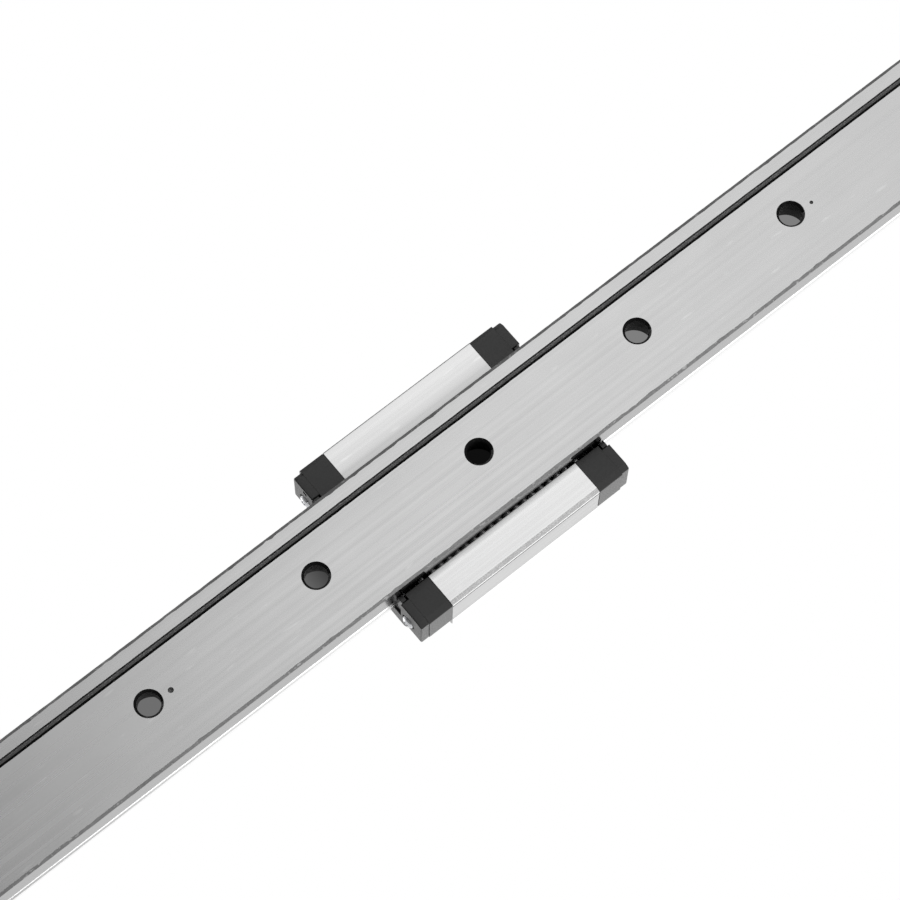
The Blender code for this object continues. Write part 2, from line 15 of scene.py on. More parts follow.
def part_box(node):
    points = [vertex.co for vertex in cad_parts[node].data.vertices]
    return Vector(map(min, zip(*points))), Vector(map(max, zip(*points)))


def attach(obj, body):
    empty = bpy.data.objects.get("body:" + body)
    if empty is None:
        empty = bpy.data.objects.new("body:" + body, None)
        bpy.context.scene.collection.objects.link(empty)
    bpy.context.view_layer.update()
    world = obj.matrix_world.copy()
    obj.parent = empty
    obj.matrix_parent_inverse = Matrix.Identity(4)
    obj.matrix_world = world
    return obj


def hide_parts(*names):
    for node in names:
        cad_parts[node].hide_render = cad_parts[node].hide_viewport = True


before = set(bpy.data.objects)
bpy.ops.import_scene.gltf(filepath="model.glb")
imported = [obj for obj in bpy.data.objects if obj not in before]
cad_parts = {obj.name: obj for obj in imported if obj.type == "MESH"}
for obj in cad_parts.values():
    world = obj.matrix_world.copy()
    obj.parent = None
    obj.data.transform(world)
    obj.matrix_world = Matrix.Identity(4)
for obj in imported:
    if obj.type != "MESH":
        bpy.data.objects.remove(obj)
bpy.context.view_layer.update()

# %% [markdown]
# Sizes that the frame can tell are read from it, so a dressed piece cannot drift away from
# the solid that it covers. The other sizes are millimetres of the real guide. Left is +Y,
# the front of the carriage is its +X end, and the rail's base lies at z = 0.

# %% Read the sizes from the frame
MM = 0.001

rail_low, rail_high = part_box("guide_rail")
block_low, block_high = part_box("carriage_block")
cap_low, cap_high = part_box("end_cap_front")
plate_low, plate_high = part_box("end_seal_plate_front")
lip_low, lip_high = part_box("end_seal_lip_front")
row_low, row_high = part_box("loaded_balls_left")
return_low, return_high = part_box("return_balls_left")
wire_low, wire_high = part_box("ball_retainer_left")
screw_low, screw_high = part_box("end_cap_screw_front_left")
plug_low, plug_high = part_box("grease_plug_front")

RAIL_END = rail_high.x
RAIL_HALF = rail_high.y
RAIL_TOP = rail_high.z
SLIDE_X = (block_low.x + block_high.x) / 2
BLOCK_END = block_high.x - SLIDE_X
CARRIAGE_HALF = block_high.y
CARRIAGE_TOP = block_high.z
SKIRT_Z = block_low.z
CAP_INNER = cap_low.x - SLIDE_X
CAP_OUTER = cap_high.x - SLIDE_X
CAP_TOP = cap_high.z
SEAL_INNER = plate_low.x - SLIDE_X
SEAL_OUTER = plate_high.x - SLIDE_X
PLATE_TOP = plate_high.z
RACE_Z = (row_low.z + row_high.z) / 2
LOADED_Y = (row_low.y + row_high.y) / 2
RETURN_Y = (return_low.y + return_high.y) / 2
WIRE_RADIUS = 0.2 * MM
WIRE_Y = wire_low.y + WIRE_RADIUS
SCREW_Y = (screw_low.y + screw_high.y) / 2
SCREW_Z = (screw_low.z + screw_high.z) / 2
PLUG_Z = (plug_low.z + plug_high.z) / 2

print(f"rail {2 * RAIL_HALF / MM:.1f} x {RAIL_TOP / MM:.1f} x {2 * RAIL_END / MM:.1f} mm")
print(f"carriage {2 * CARRIAGE_HALF / MM:.1f} mm wide, top at {CARRIAGE_TOP / MM:.1f} mm")

# %% [markdown]
# The photograph was taken with a long lens from under the rail: the base face with its
# bores looks at the camera and the carriage is behind it. The place, aim and roll below
# were found by matching the five hole centres that show, which lie 30 mm apart. The lens
# has to be long, because a short one would make the near end of the rail much wider.

# %% Set up the camera
CAMERA_PLACE = Vector((-113.12, 125.21, -445.9)) * MM
CAMERA_AIM = Vector((-3.1, -2.82, 0.0)) * MM
CAMERA_ROLL = math.radians(181.53)
CAMERA_LENS = 132.0

camera_data = bpy.data.cameras.new("photo_camera")
camera_data.lens = CAMERA_LENS
camera = bpy.data.objects.new("photo_camera", camera_data)
bpy.context.scene.collection.objects.link(camera)
facing = (CAMERA_AIM - CAMERA_PLACE).to_track_quat("-Z", "Y").to_matrix().to_4x4()
rolled = facing @ Matrix.Rotation(CAMERA_ROLL, 4, "Z")
camera.matrix_world = Matrix.Translation(CAMERA_PLACE) @ rolled
bpy.context.scene.camera = camera
bpy.context.scene.view_settings.view_transform = "Standard"
print(f"camera is {(CAMERA_AIM - CAMERA_PLACE).length / MM:.0f} mm from the rail")

# %% [markdown]
# Every finish and the studio's light are node trees. Written out link by link they hide
# what they do, so a small helper adds a node, fills its inputs and returns an output. A
# plain value goes straight onto the socket, and another node's output becomes a link.


# %% A short way to write node trees
class Nodes:
    def __init__(self, tree):
        self.tree = tree

    def add(self, kind, inputs=None, output=0, **settings):
        node = self.tree.nodes.new(kind)
        for name, value in settings.items():
            setattr(node, name, value)
        for name, value in (inputs or {}).items():
            if isinstance(value, bpy.types.NodeSocket):
                self.tree.links.new(value, node.inputs[name])
            else:
                node.inputs[name].default_value = value
        return node.outputs[output] if node.outputs else node

    def math(self, operation, first, second=0.0):
        return self.add("ShaderNodeMath", {0: first, 1: second}, operation=operation)

    def fade(self, value, start, end, low=0.0, high=1.0):
        """low at start, high at end, and a smooth change between them."""
        sizes = {0: value, 1: start, 2: end, 3: low, 4: high}
        return self.add("ShaderNodeMapRange", sizes, interpolation_type="SMOOTHSTEP")

    def mix(self, share, first, second):
        return self.add("ShaderNodeMix", {0: share, 6: first, 7: second}, 2, data_type="RGBA")

    def noise(self, place, scale, stretch=(1.0, 1.0, 1.0), detail=2.0):
        """Noise with features of about 1 / scale metres, drawn out where stretch is small."""
        moved = self.add("ShaderNodeMapping", {"Vector": place, "Scale": stretch})
        return self.add("ShaderNodeTexNoise", {"Vector": moved, "Scale": scale, "Detail": detail})


def grey(level):
    return (level, level, level, 1.0)


print("node helper ready")

# %% [markdown]
# Ground steel has almost no colour of its own: it shows what surrounds it. In the studio a
# white light table lies behind the guide and a pale room in front of it. A world shader can
# give each direction its own brightness, with no cards standing in the picture. The room in
# front fades towards one end, which shades the long base face from its middle to its left
# end, as in the photograph. The camera itself sees plain white.

# %% Light the studio with the world
TABLE_GLOW = 1.25
SKY_GLOW = 0.7
HORIZON_GLOW = 0.5
ROOM_GLOW = 1.2
ROOM_DARK_END = 0.2
ROOM_FAR_END = 0.65
REAR_SKY = 0.6
HORIZON = 0.05


def make_world():
    world = bpy.data.worlds.new("soft_studio")
    world.use_nodes = True
    bpy.context.scene.world = world
    world.node_tree.nodes.clear()
    n = Nodes(world.node_tree)
    direction = n.add("ShaderNodeTexCoord")
    along = n.add("ShaderNodeSeparateXYZ", {0: direction}, 0)
    up = n.add("ShaderNodeSeparateXYZ", {0: direction}, 2)
    sky = n.fade(up, 0.1, 0.85, SKY_GLOW, TABLE_GLOW)
    sky = n.math("MULTIPLY", sky, n.fade(along, -0.35, 0.1, REAR_SKY, 1.0))
    room = n.fade(along, 0.02, 0.2, ROOM_DARK_END, ROOM_GLOW)
    room = n.math("MULTIPLY", room, n.fade(along, 0.15, 0.5, 1.0, ROOM_FAR_END))
    above = n.math("MULTIPLY", n.fade(up, -0.05, 0.15), sky)
    below = n.math("MULTIPLY", n.fade(up, -0.5, -0.2, 1.0, 0.0), room)
    edge = n.fade(n.math("ABSOLUTE", up), HORIZON, 0.4, HORIZON_GLOW, 0.0)
    glow = n.math("ADD", n.math("ADD", above, below), edge)
    camera_ray = n.add("ShaderNodeLightPath")
    strength = n.add("ShaderNodeMix", {0: camera_ray, 2: glow, 3: 1.0})
    background = n.add("ShaderNodeBackground", {"Color": grey(1.0), "Strength": strength})
    n.add("ShaderNodeOutputWorld", {"Surface": background})


make_world()
print(f"world: table {TABLE_GLOW}, sky {SKY_GLOW}, room {ROOM_GLOW} to {ROOM_DARK_END}")

# %% [markdown]
# Two large soft boxes give the round and bevelled forms a highlight that runs along them. A
# box light is placed by a direction from the guide and turned to face it. The radiance that
# a flat light shows is its power divided by its area and pi, so the power is worked out from
# the brightness that is wanted.


# %% Add two soft boxes
def soft_box(name, direction, distance, size, brightness):
    data = bpy.data.lights.new(name, "AREA")
    data.shape = "SQUARE"
    data.size = size
    data.energy = brightness * math.pi * size * size
    light = bpy.data.objects.new(name, data)
    bpy.context.scene.collection.objects.link(light)
    place = Vector(direction).normalized() * distance
    light.matrix_world = (
        Matrix.Translation(place) @ (-place).to_track_quat("-Z", "Y").to_matrix().to_4x4()
    )
    print(f"{name}: {data.energy:.2f} W")


soft_box("side_soft_box", (0.25, 0.93, -0.25), 0.8, 0.55, 1.5)
soft_box("top_soft_box", (-0.55, -0.5, 0.65), 0.9, 0.4, 1.6)

# %% [markdown]
# The floor is a pale plane just under the rail's base. The photograph looks up from below
# it, so the plane is clear from its underside. It is left out of reflections and casts no
# shadow: it only has to be seen, not to light anything.

# %% Lay the floor
FLOOR_DROP = 0.5 * MM
FLOOR_SIZE = 6.0


def seen_from_one_side(name, make_shader):
    """A material that the camera sees only on the side that the faces point to."""
    made = bpy.data.materials.new(name)
    made.use_nodes = True
    made.node_tree.nodes.clear()
    n = Nodes(made.node_tree)
    backside = n.add("ShaderNodeNewGeometry", output="Backfacing")
    clear = n.add("ShaderNodeBsdfTransparent")
    both = n.add("ShaderNodeMixShader", {0: backside, 1: make_shader(n), 2: clear})
    n.add("ShaderNodeOutputMaterial", {"Surface": both})
    return made


def stage_plane(name, half_x, half_y, z, points_up, material):
    corners = [(-half_x, -half_y, z), (half_x, -half_y, z), (half_x, half_y, z), (-half_x, half_y, z)]
    mesh = bpy.data.meshes.new(name)
    mesh.from_pydata(corners, [], [(0, 1, 2, 3) if points_up else (3, 2, 1, 0)])
    mesh.materials.append(material)
    plane = bpy.data.objects.new(name, mesh)
    bpy.context.scene.collection.objects.link(plane)
    plane.visible_diffuse = False
    plane.visible_glossy = False
    plane.visible_transmission = False
    plane.visible_shadow = False


def pale_paint(n):
    place = n.add("ShaderNodeTexCoord", output="Object")
    speck = n.noise(place, 900.0)
    tone = n.mix(speck, grey(0.70), grey(0.74))
    return n.add("ShaderNodeBsdfDiffuse", {"Color": tone, "Roughness": 0.6})


floor_paint = seen_from_one_side("pale_floor_paint", pale_paint)
stage_plane("floor", FLOOR_SIZE / 2, FLOOR_SIZE / 2, -FLOOR_DROP, True, floor_paint)
print(f"floor at {-FLOOR_DROP / MM} mm")

# %% [markdown]
# Through each bore a patch of the backdrop shows. It lies in the guide's own shadow, so it
# is grey, and darker near the carriage. A strip above the rail that only the camera sees,
# and only from below, glows with that grey: it is painted shadow, not a cast one. It is
# staging, like the floor.

# %% Shade the backdrop behind the bores
SHADE_HALF = 3.4 * MM
SHADE_RISE = 0.03 * MM
SHADE_GLOW = 0.212
SHADE_DARK = 0.005
SHADE_REACH = 14.0 * MM
SHADE_REAR = 0.74
SHADE_REAR_FROM = -34.0 * MM
SHADE_REAR_TO = -48.0 * MM
SHADE_END_GAP = 2.0 * MM


def shadow_grey(n):
    place = n.add("ShaderNodeTexCoord", output="Object")
    along = n.add("ShaderNodeSeparateXYZ", {0: place})
    from_carriage = n.math("ABSOLUTE", n.math("SUBTRACT", along, SLIDE_X))
    near = n.math("SUBTRACT", from_carriage, SEAL_OUTER)
    glow = n.fade(near, 0.0, SHADE_REACH, SHADE_DARK, SHADE_GLOW)
    rear = n.fade(along, SHADE_REAR_TO, SHADE_REAR_FROM, SHADE_REAR, 1.0)
    glow = n.math("MULTIPLY", glow, rear)
    return n.add("ShaderNodeEmission", {"Color": grey(1.0), "Strength": glow})


shade_paint = seen_from_one_side("backdrop_in_shadow", shadow_grey)
shade_z = RAIL_TOP + SHADE_RISE
shade_end = RAIL_END - SHADE_END_GAP
stage_plane("backdrop_shade", shade_end, SHADE_HALF, shade_z, False, shade_paint)
print(f"shade strip {2 * SHADE_HALF / MM:.1f} mm wide at {shade_z / MM:.2f} mm")

# %% [markdown]
# Each finish is a material whose colour, roughness and relief come from noise measured in
# real units, in the piece's own coordinates. So the grain keeps its size on every piece and
# travels with the carriage. What is the same all over a surface is set on the shader itself.


# %% Start a finish
def start_finish(name, **constants):
    made = bpy.data.materials.new(name)
    made.use_nodes = True
    shader = made.node_tree.nodes["Principled BSDF"]
    for socket, value in constants.items():
        shader.inputs[socket.replace("_", " ")].default_value = value
    n = Nodes(made.node_tree)
    return made, n, shader, n.add("ShaderNodeTexCoord", output="Object")


def wire_finish(n, shader, color, roughness, height=None, depth=0.0):
    """Joins a finish's colour, roughness and relief to its shader."""
    n.tree.links.new(color, shader.inputs["Base Color"])
    n.tree.links.new(roughness, shader.inputs["Roughness"])
    if height:
        bump = n.add("ShaderNodeBump", {"Distance": depth, "Height": height, "Strength": 1.0})
        n.tree.links.new(bump, shader.inputs["Normal"])


print("finish helpers ready")

# %% [markdown]
# The rail and the block are surface ground: the wheel leaves very fine lines along the
# piece. The lines are noise drawn out along X, thousands of times finer across than along.
# A second, broad noise gives the faint cloudiness of hardened steel, and rare long
# scratches come from the bright tail of a third one. The tone differs between faces.
# The rail's lower sides are painted much darker than its base, as shade, and the right
# wing's underside carries painted shade, darkest where it lies beside the rail.

# %% Make the ground steel finishes
GRIND_ACROSS = 5200.0
GRIND_DEPTH = 0.6e-6
CLOUD_SIZE = 160.0
SCRATCH_SHARE = 0.1
WING_OUTSIDE = -13.2 * MM
WING_INSIDE = -8.8 * MM
WING_PAINTED_SHADE_OUTSIDE = 0.05
WING_PAINTED_SHADE_INSIDE = 0.36


def vary(n, level, noise, amount):
    """level plus a share of the noise, which swings about one half."""
    return n.math("ADD", level, n.math("MULTIPLY", n.math("SUBTRACT", noise, 0.5), amount))


def painted_shade_beside_rail(n, place):
    """Painted shade: the share of tone the right wing loses, less at its outside than beside the rail."""
    across = n.add("ShaderNodeSeparateXYZ", {0: place}, 1)
    near = n.fade(across, WING_OUTSIDE, WING_INSIDE, WING_PAINTED_SHADE_OUTSIDE, WING_PAINTED_SHADE_INSIDE)
    return n.math("MULTIPLY", near, n.fade(across, -2 * MM, 2 * MM, 1.0, 0.0))


def ground_steel(name, tone, roughness, streak=0.1, cloud=0.1, painted_shade=None):
    """Steel with fine lines along X. streak and cloud are shares of the tone."""
    made, n, shader, place = start_finish(name, Metallic=1.0)
    lines = n.noise(place, GRIND_ACROSS, (0.006, 1.0, 1.0), 3.0)
    bands = n.noise(place, GRIND_ACROSS * 0.25, (0.004, 1.0, 1.0), 2.0)
    clouds = n.noise(place, CLOUD_SIZE, (0.6, 1.0, 1.0), 3.0)
    marks = n.noise(place, 900.0, (0.25, 1.3, 1.0), 1.0)
    level = vary(n, tone, lines, 2 * streak * tone)
    level = vary(n, level, bands, streak * tone)
    level = vary(n, level, clouds, cloud * tone)
    level = n.math("ADD", level, n.fade(marks, 0.68, 0.8, 0.0, SCRATCH_SHARE * tone))
    # Where given, a painted shade takes a share off the tone by place.
    if painted_shade:
        level = n.math("MULTIPLY", level, n.math("SUBTRACT", 1.0, painted_shade(n, place)))
    color = n.add("ShaderNodeCombineColor", {0: level, 1: level, 2: level})
    rough = n.fade(bands, 0.2, 0.8, roughness - 0.04, roughness + 0.05)
    wire_finish(n, shader, color, rough, lines, GRIND_DEPTH)
    return made


BASE_STEEL = ground_steel("ground_rail_base", 0.66, 0.26, 0.022)
# The rail's lower sides get a tone far below the base's: painted shade.
SIDE_STEEL_PAINTED_SHADE = ground_steel("ground_rail_side_painted_shade", 0.235, 0.2, 0.06)
STRIP_STEEL = ground_steel("ground_rail_upper_side", 0.72, 0.2, 0.06)
RACE_STEEL = ground_steel("ground_raceway", 0.95, 0.24, 0.05)
BLOCK_STEEL = ground_steel("ground_block", 0.86, 0.3, 0.02, 0.04)
WING_STEEL = ground_steel("ground_block_underside_painted_shade", 0.87, 0.26, 0.01, 0.05, painted_shade_beside_rail)
FLANK_STEEL = ground_steel("milled_block_flank", 0.53, 0.38)
print("seven ground steels")

# %% [markdown]
# Hardening leaves a dark scale on the steel. Grinding takes it off the flats, but it stays
# in the bores, the long groove and the small chamfers. There it is nearly black, a little
# rough, and it has bright flecks where the wheel or a tool has just touched it. In the
# groove its tone is also painted light and shade: lighter on the wall towards -Y and
# black on the side towards +Y. The black is painted shade in the block's scribed lines
# too. The same speckle, much lighter, makes the rough strip under the block's left wing.

# %% Make the dark scale and the rough strip
SCALE_IOR = 1.2
FLECK_STRETCH = (0.5, 1.0, 1.0)


def speckled_steel(name, dark, bright, share, roughness, grain, depth, metal=1.0):
    """Steel whose tone jumps between two levels. share is how much of it is bright."""
    made, n, shader, place = start_finish(name, Metallic=metal, IOR=SCALE_IOR)
    flecks = n.noise(place, grain, FLECK_STRETCH, 3.0)
    broad = n.noise(place, grain * 0.12, FLECK_STRETCH, 2.0)
    edge = 0.68 - 0.36 * share
    bright_share = n.fade(vary(n, flecks, broad, 0.25), edge - 0.04, edge + 0.1)
    color = n.mix(bright_share, grey(dark), grey(bright))
    rough = n.fade(flecks, 0.3, 0.7, roughness - 0.06, roughness + 0.08)
    wire_finish(n, shader, color, rough, flecks, depth)
    return made


BORE_SCALE = speckled_steel("dark_scale_in_bores", 0.008, 0.02, 0.3, 0.7, 3000.0, 4e-6, metal=0.0)
EDGE_SCALE = speckled_steel("dark_scale_on_chamfers", 0.16, 0.36, 0.2, 0.42, 2600.0, 4e-6)
GROOVE_SCALE = speckled_steel("grey_scale_in_groove", 0.16, 0.34, 0.3, 0.6, 5200.0, 5e-6)
# This black is painted shade: the groove's side towards +Y and the block's scribed lines.
BLACK_PAINTED_SHADE = speckled_steel("black_scale_and_painted_shade", 0.012, 0.03, 0.3, 0.5, 5200.0, 5e-6)
ROUGH_SKIRT = speckled_steel("rough_block_skirt", 0.58, 0.8, 0.5, 0.45, 8000.0, 5e-6)
print("scale and rough strip")

# %% [markdown]
# The end caps, seal plates and return guides are injection moulded in black plastic. Its
# face carries the fine spark texture of the mould, which keeps it matt. The seal lips are
# softer and blacker. The balls are bearing steel, polished to a mirror, and the screws and
# plugs are zinc plated, which is slightly blue and a little cloudy.


# %% Make the plastic, rubber and bright metals
def moulded(name, tone, roughness, grain, depth, ior):
    made, n, shader, place = start_finish(name, Metallic=0.0, IOR=ior)
    spark = n.noise(place, grain, detail=3.0)
    flow = n.noise(place, 260.0, (1.0, 0.5, 1.0))
    level = vary(n, vary(n, tone, spark, 0.8 * tone), flow, 0.4 * tone)
    color = n.add("ShaderNodeCombineColor", {0: level, 1: level, 2: level})
    rough = n.fade(spark, 0.3, 0.7, roughness - 0.05, roughness + 0.08)
    wire_finish(n, shader, color, rough, spark, depth)
    return made


def bright_metal(name, tint, roughness, cloud, depth):
    made, n, shader, place = start_finish(name, Metallic=1.0)
    clouds = n.noise(place, 1400.0, detail=3.0)
    fine = n.noise(place, 9000.0, detail=1.0)
    shaded = [level * (1 - cloud) for level in tint]
    color = n.mix(clouds, (*shaded, 1.0), (*tint, 1.0))
    rough = n.fade(fine, 0.3, 0.7, roughness * 0.8, roughness * 1.3)
    wire_finish(n, shader, color, rough, fine, depth)
    return made


BLACK_PLASTIC = moulded("black_moulded_plastic", 0.018, 0.33, 4200.0, 4e-6, 1.55)
GUIDE_PLASTIC = moulded("black_guide_plastic", 0.022, 0.35, 5200.0, 3e-6, 1.5)
SEAL_RUBBER = moulded("black_seal_rubber", 0.01, 0.22, 6000.0, 3e-6, 1.5)
BALL_STEEL = bright_metal("polished_ball_steel", (0.8, 0.8, 0.81), 0.07, 0.05, 0.2e-6)
ZINC = bright_metal("zinc_plate", (0.84, 0.85, 0.87), 0.22, 0.12, 1e-6)
print("plastics, rubber, ball steel, zinc")

# %% [markdown]
# Most pieces of a linear guide are profiles pulled along X or shapes turned about an axis.
# An outline can be rounded at its corners with a short quadratic curve, which is close
# enough to an arc at a tenth of a millimetre. A rim is made by drawing the outline in as
# the bar nears its end, so the edges catch light as real ones do.


# %% Pull profiles along X
def rounded(corners, steps=3):
    """An outline from (y, z, radius) corners."""
    points = []
    for i, (y, z, radius) in enumerate(corners):
        here = Vector((y, z))
        if not radius:
            points.append((y, z))
            continue
        before = Vector(corners[i - 1][:2]) - here
        after = Vector(corners[(i + 1) % len(corners)][:2]) - here
        reach = radius / math.tan(before.angle(after) / 2)
        reach = min(reach, 0.45 * before.length, 0.45 * after.length)
        start = here + before.normalized() * reach
        end = here + after.normalized() * reach
        for step in range(steps + 1):
            t = step / steps
            spot = start * (1 - t) ** 2 + here * 2 * t * (1 - t) + end * t * t
            points.append((spot.x, spot.y))
    return points


def inset(outline, depth):
    """The outline drawn in by depth, corner by corner."""
    count = len(outline)
    area = sum(
        outline[i - 1][0] * outline[i][1] - outline[i][0] * outline[i - 1][1] for i in range(count)
    )
    side = 1 if area > 0 else -1
    drawn = []
    for i in range(count):
        here = Vector(outline[i])
        into = (here - Vector(outline[i - 1])).normalized()
        out = (Vector(outline[(i + 1) % count]) - here).normalized()
        first = Vector((-into.y, into.x)) * side
        second = Vector((-out.y, out.x)) * side
        shift = (first + second) * depth / max(1 + first.dot(second), 0.3)
        drawn.append((here.x + shift.x, here.y + shift.y))
    return drawn


def join_rings(bm, rings):
    """Makes the faces between neighbouring rings of equally many points."""
    count = len(rings[0])
    for near, far in zip(rings, rings[1:]):
        for i in range(count):
            bm.faces.new((near[i], near[(i + 1) % count], far[(i + 1) % count], far[i]))


def finished_mesh(bm, name):
    bmesh.ops.recalc_face_normals(bm, faces=bm.faces)
    mesh = bpy.data.meshes.new(name)
    bm.to_mesh(mesh)
    bm.free()
    return mesh


def skin(name, rings):
    """A closed solid through rings of points."""
    bm = bmesh.new()
    loops = [[bm.verts.new(point) for point in ring] for ring in rings]
    join_rings(bm, loops)
    bm.faces.new(loops[0])
    bm.faces.new(loops[-1])
    return finished_mesh(bm, name)


def loft(name, rings):
    """A closed solid through rings of (x, outline)."""
    return skin(name, [[(x, y, z) for y, z in outline] for x, outline in rings])


def bar(name, outline, low, high, edge, steps=3):
    """The outline pulled from low to high along X, with rims rounded by edge."""
    rings = []
    for step in range(steps + 1):
        a = math.pi / 2 * step / steps
        rings.append((edge * (1 - math.cos(a)), inset(outline, edge * (1 - math.sin(a)))))
    near = [(low + x, drawn) for x, drawn in rings]
    far = [(high - x, drawn) for x, drawn in reversed(rings)]
    return loft(name, near + far)


print("profile helpers ready")

# %% [markdown]
# Holes are cut with the exact Boolean, because their cutters can then have the real tool's
# shape: a countersink, a flat counterbore, a round ball turn. The cutter is a turned solid,
# placed by a matrix. Each dressed piece is shaded smooth with sharp creases, and weighted
# normals keep the large flats flat beside their small rounded edges.


# %% Turn, cut and dress pieces
PAST = 1.0 * MM
CREASE = math.radians(32)


def turned(name, profile, sides, angle=math.tau):
    """A solid turned about Z from a profile of (radius, height) that starts and ends on the axis."""
    bm = bmesh.new()
    whole = angle >= math.tau
    first = bm.verts.new((0, 0, profile[0][1]))
    last = bm.verts.new((0, 0, profile[-1][1]))
    columns = []
    for step in range(sides if whole else sides + 1):
        a = angle * (step / sides - 0.5)
        column = [bm.verts.new((r * math.cos(a), r * math.sin(a), h)) for r, h in profile[1:-1]]
        columns.append([first] + column + [last])
    pairs = list(zip(columns, columns[1:]))
    if whole:
        pairs.append((columns[-1], columns[0]))
    for one, two in pairs:
        for i in range(len(profile) - 1):
            corners = [one[i], one[i + 1], two[i + 1], two[i]]
            bm.faces.new(list(dict.fromkeys(corners)))
    if not whole:
        bm.faces.new(columns[0])
        bm.faces.new(columns[-1])
    return finished_mesh(bm, name)


def drill(name, radius, low, high, sides=32):
    """A plain round cutter about Z."""
    return turned(name, [(0, low), (radius, low), (radius, high), (0, high)], sides)


def along_x(place):
    """Lays a solid made about Z along X."""
    return Matrix.Translation(Vector(place)) @ Matrix.Rotation(math.pi / 2, 4, "Y")


def upright(place):
    return Matrix.Translation(Vector(place))


def carved(mesh, cutters):
    """The mesh without the (cutter mesh, placing) solids."""
    body = bpy.data.objects.new(mesh.name, mesh)
    bpy.context.scene.collection.objects.link(body)
    tools = []
    for cutter, placing in cutters:
        tool = bpy.data.objects.new("cutter", cutter)
        bpy.context.scene.collection.objects.link(tool)
        tool.matrix_world = placing
        cut = body.modifiers.new("cut", "BOOLEAN")
        cut.operation = "DIFFERENCE"
        cut.solver = "EXACT"
        cut.object = tool
        tools.append(tool)
    bpy.context.view_layer.update()
    ready = body.evaluated_get(bpy.context.evaluated_depsgraph_get())
    result = bpy.data.meshes.new_from_object(ready)
    for used in [body, *tools]:
        bpy.data.objects.remove(used, do_unlink=True)
    return result


def paint(mesh, finishes, choose=None):
    """Gives each face the one of the finishes that choose(middle, normal) returns, or the first."""
    mesh.materials.clear()
    for finish in finishes:
        mesh.materials.append(finish)
    for face in mesh.polygons:
        face.material_index = finishes.index(choose(face.center, face.normal)) if choose else 0
    return mesh


def dress(name, mesh, node, placing=None, body="carriage"):
    """Stands the mesh in for a CAD node: it rides on the node's body and the node is hidden."""
    piece = bpy.data.objects.new(name, mesh)
    bpy.context.scene.collection.objects.link(piece)
    piece.matrix_world = placing or Matrix.Identity(4)
    mesh.shade_smooth()
    mesh.set_sharp_from_angle(angle=CREASE)
    flats = piece.modifiers.new("flat_normals", "WEIGHTED_NORMAL")
    flats.keep_sharp = True
    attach(piece, body)
    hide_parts(node)
    print(f"{name}: {len(mesh.polygons)} faces")


print("turning and cutting helpers ready")

# %% [markdown]
# Each ball row runs in a gothic groove: two arcs whose centres are shifted apart, so the
# ball touches at 45 degrees. The rail's grooves also have a narrow relief at the bottom,
# which gives the retaining wire room. One function draws the groove for rail and block.

# %% Draw the raceways
BALL_RADIUS = 0.794 * MM
RACEWAY_RADIUS = 0.844 * MM
GOTHIC_SHIFT = 0.02 * MM
RELIEF_HALF = 0.35 * MM
RELIEF_Y = WIRE_Y - 0.3 * MM
RACE_STEPS = 9


def gothic_arc(side, from_z, to_z):
    shift = -GOTHIC_SHIFT if (from_z + to_z) > 0 else GOTHIC_SHIFT
    first = math.asin((from_z - shift) / RACEWAY_RADIUS)
    last = math.asin((to_z - shift) / RACEWAY_RADIUS)
    points = []
    for step in range(RACE_STEPS + 1):
        a = first + (last - first) * step / RACE_STEPS
        y = LOADED_Y + side * RACEWAY_RADIUS * math.cos(a)
        points.append((y, RACE_Z + shift + RACEWAY_RADIUS * math.sin(a)))
    return points


def raceway(side, wall_y):
    """The groove in one wall, from below to above. side is -1 in the rail and 1 in the block."""
    reach = abs(LOADED_Y - wall_y)
    mouth = math.sqrt(RACEWAY_RADIUS**2 - reach**2) - GOTHIC_SHIFT
    lower = gothic_arc(side, -mouth, -RELIEF_HALF)
    upper = gothic_arc(side, RELIEF_HALF, mouth)
    if side > 0:
        return lower + upper
    slot = [(RELIEF_Y, RACE_Z - RELIEF_HALF), (RELIEF_Y, RACE_Z + RELIEF_HALF)]
    return lower + slot + upper


def mirrored(points):
    """The same points on the other side of the XZ plane, in the opposite order."""
    return [(-p[0], *p[1:]) for p in reversed(points)]


print(f"raceway at z {RACE_Z / MM:.2f} mm, ball centre at y {LOADED_Y / MM:.3f} mm")

# %% [markdown]
# The rail is one long profile with seven counterbored holes. Its small chamfers are not
# ground, so their edges wander by a few hundredths of a millimetre and catch the light in
# broken dashes. That needs real points along the rail: the profile is repeated every
# millimetre or so, and its chamfer and groove edges are moved a little at each one. Beside
# two holes the base has a punch mark. PUNCH_MARKS holds each hole's number, then the mark's
# x and y from the hole's centre and its radius, in millimetres.

# %% Build the rail
BASE_CHAMFER = 0.4 * MM
DATUM_CHAMFER = 0.53 * MM
TOP_CHAMFER = 0.35 * MM
RAIL_RIM = 0.25 * MM
GROOVE_RADIUS = 0.53 * MM
GROOVE_Y = -RAIL_HALF + 2.9 * MM
GROOVE_STEPS = 12
GROOVE_PAINTED_SHADE_FROM = 0.05 * MM
GROOVE_PAINTED_LIGHT_TO = -0.28 * MM
STATION = 0.9 * MM
EDGE_WANDER = 0.02 * MM
GROOVE_STEADY = 0.3
BURR = 0.09 * MM
BURR_SHARE = 0.06
WANDER_LIMIT = 0.12 * MM

HOLE_PITCH = 30.0 * MM
HOLE_REACH = 3
BORE = 1.75 * MM
COUNTERBORE = 3.0 * MM
COUNTERBORE_FLOOR = RAIL_TOP - 4.5 * MM
BORE_CHAMFER = 0.4 * MM
HOLE_SIDES = 64
PUNCH_MARKS = ((-2, 3.62, 0.4, 0.36), (2, 3.62, 0.53, 0.24))
HAIR = 0.001 * MM


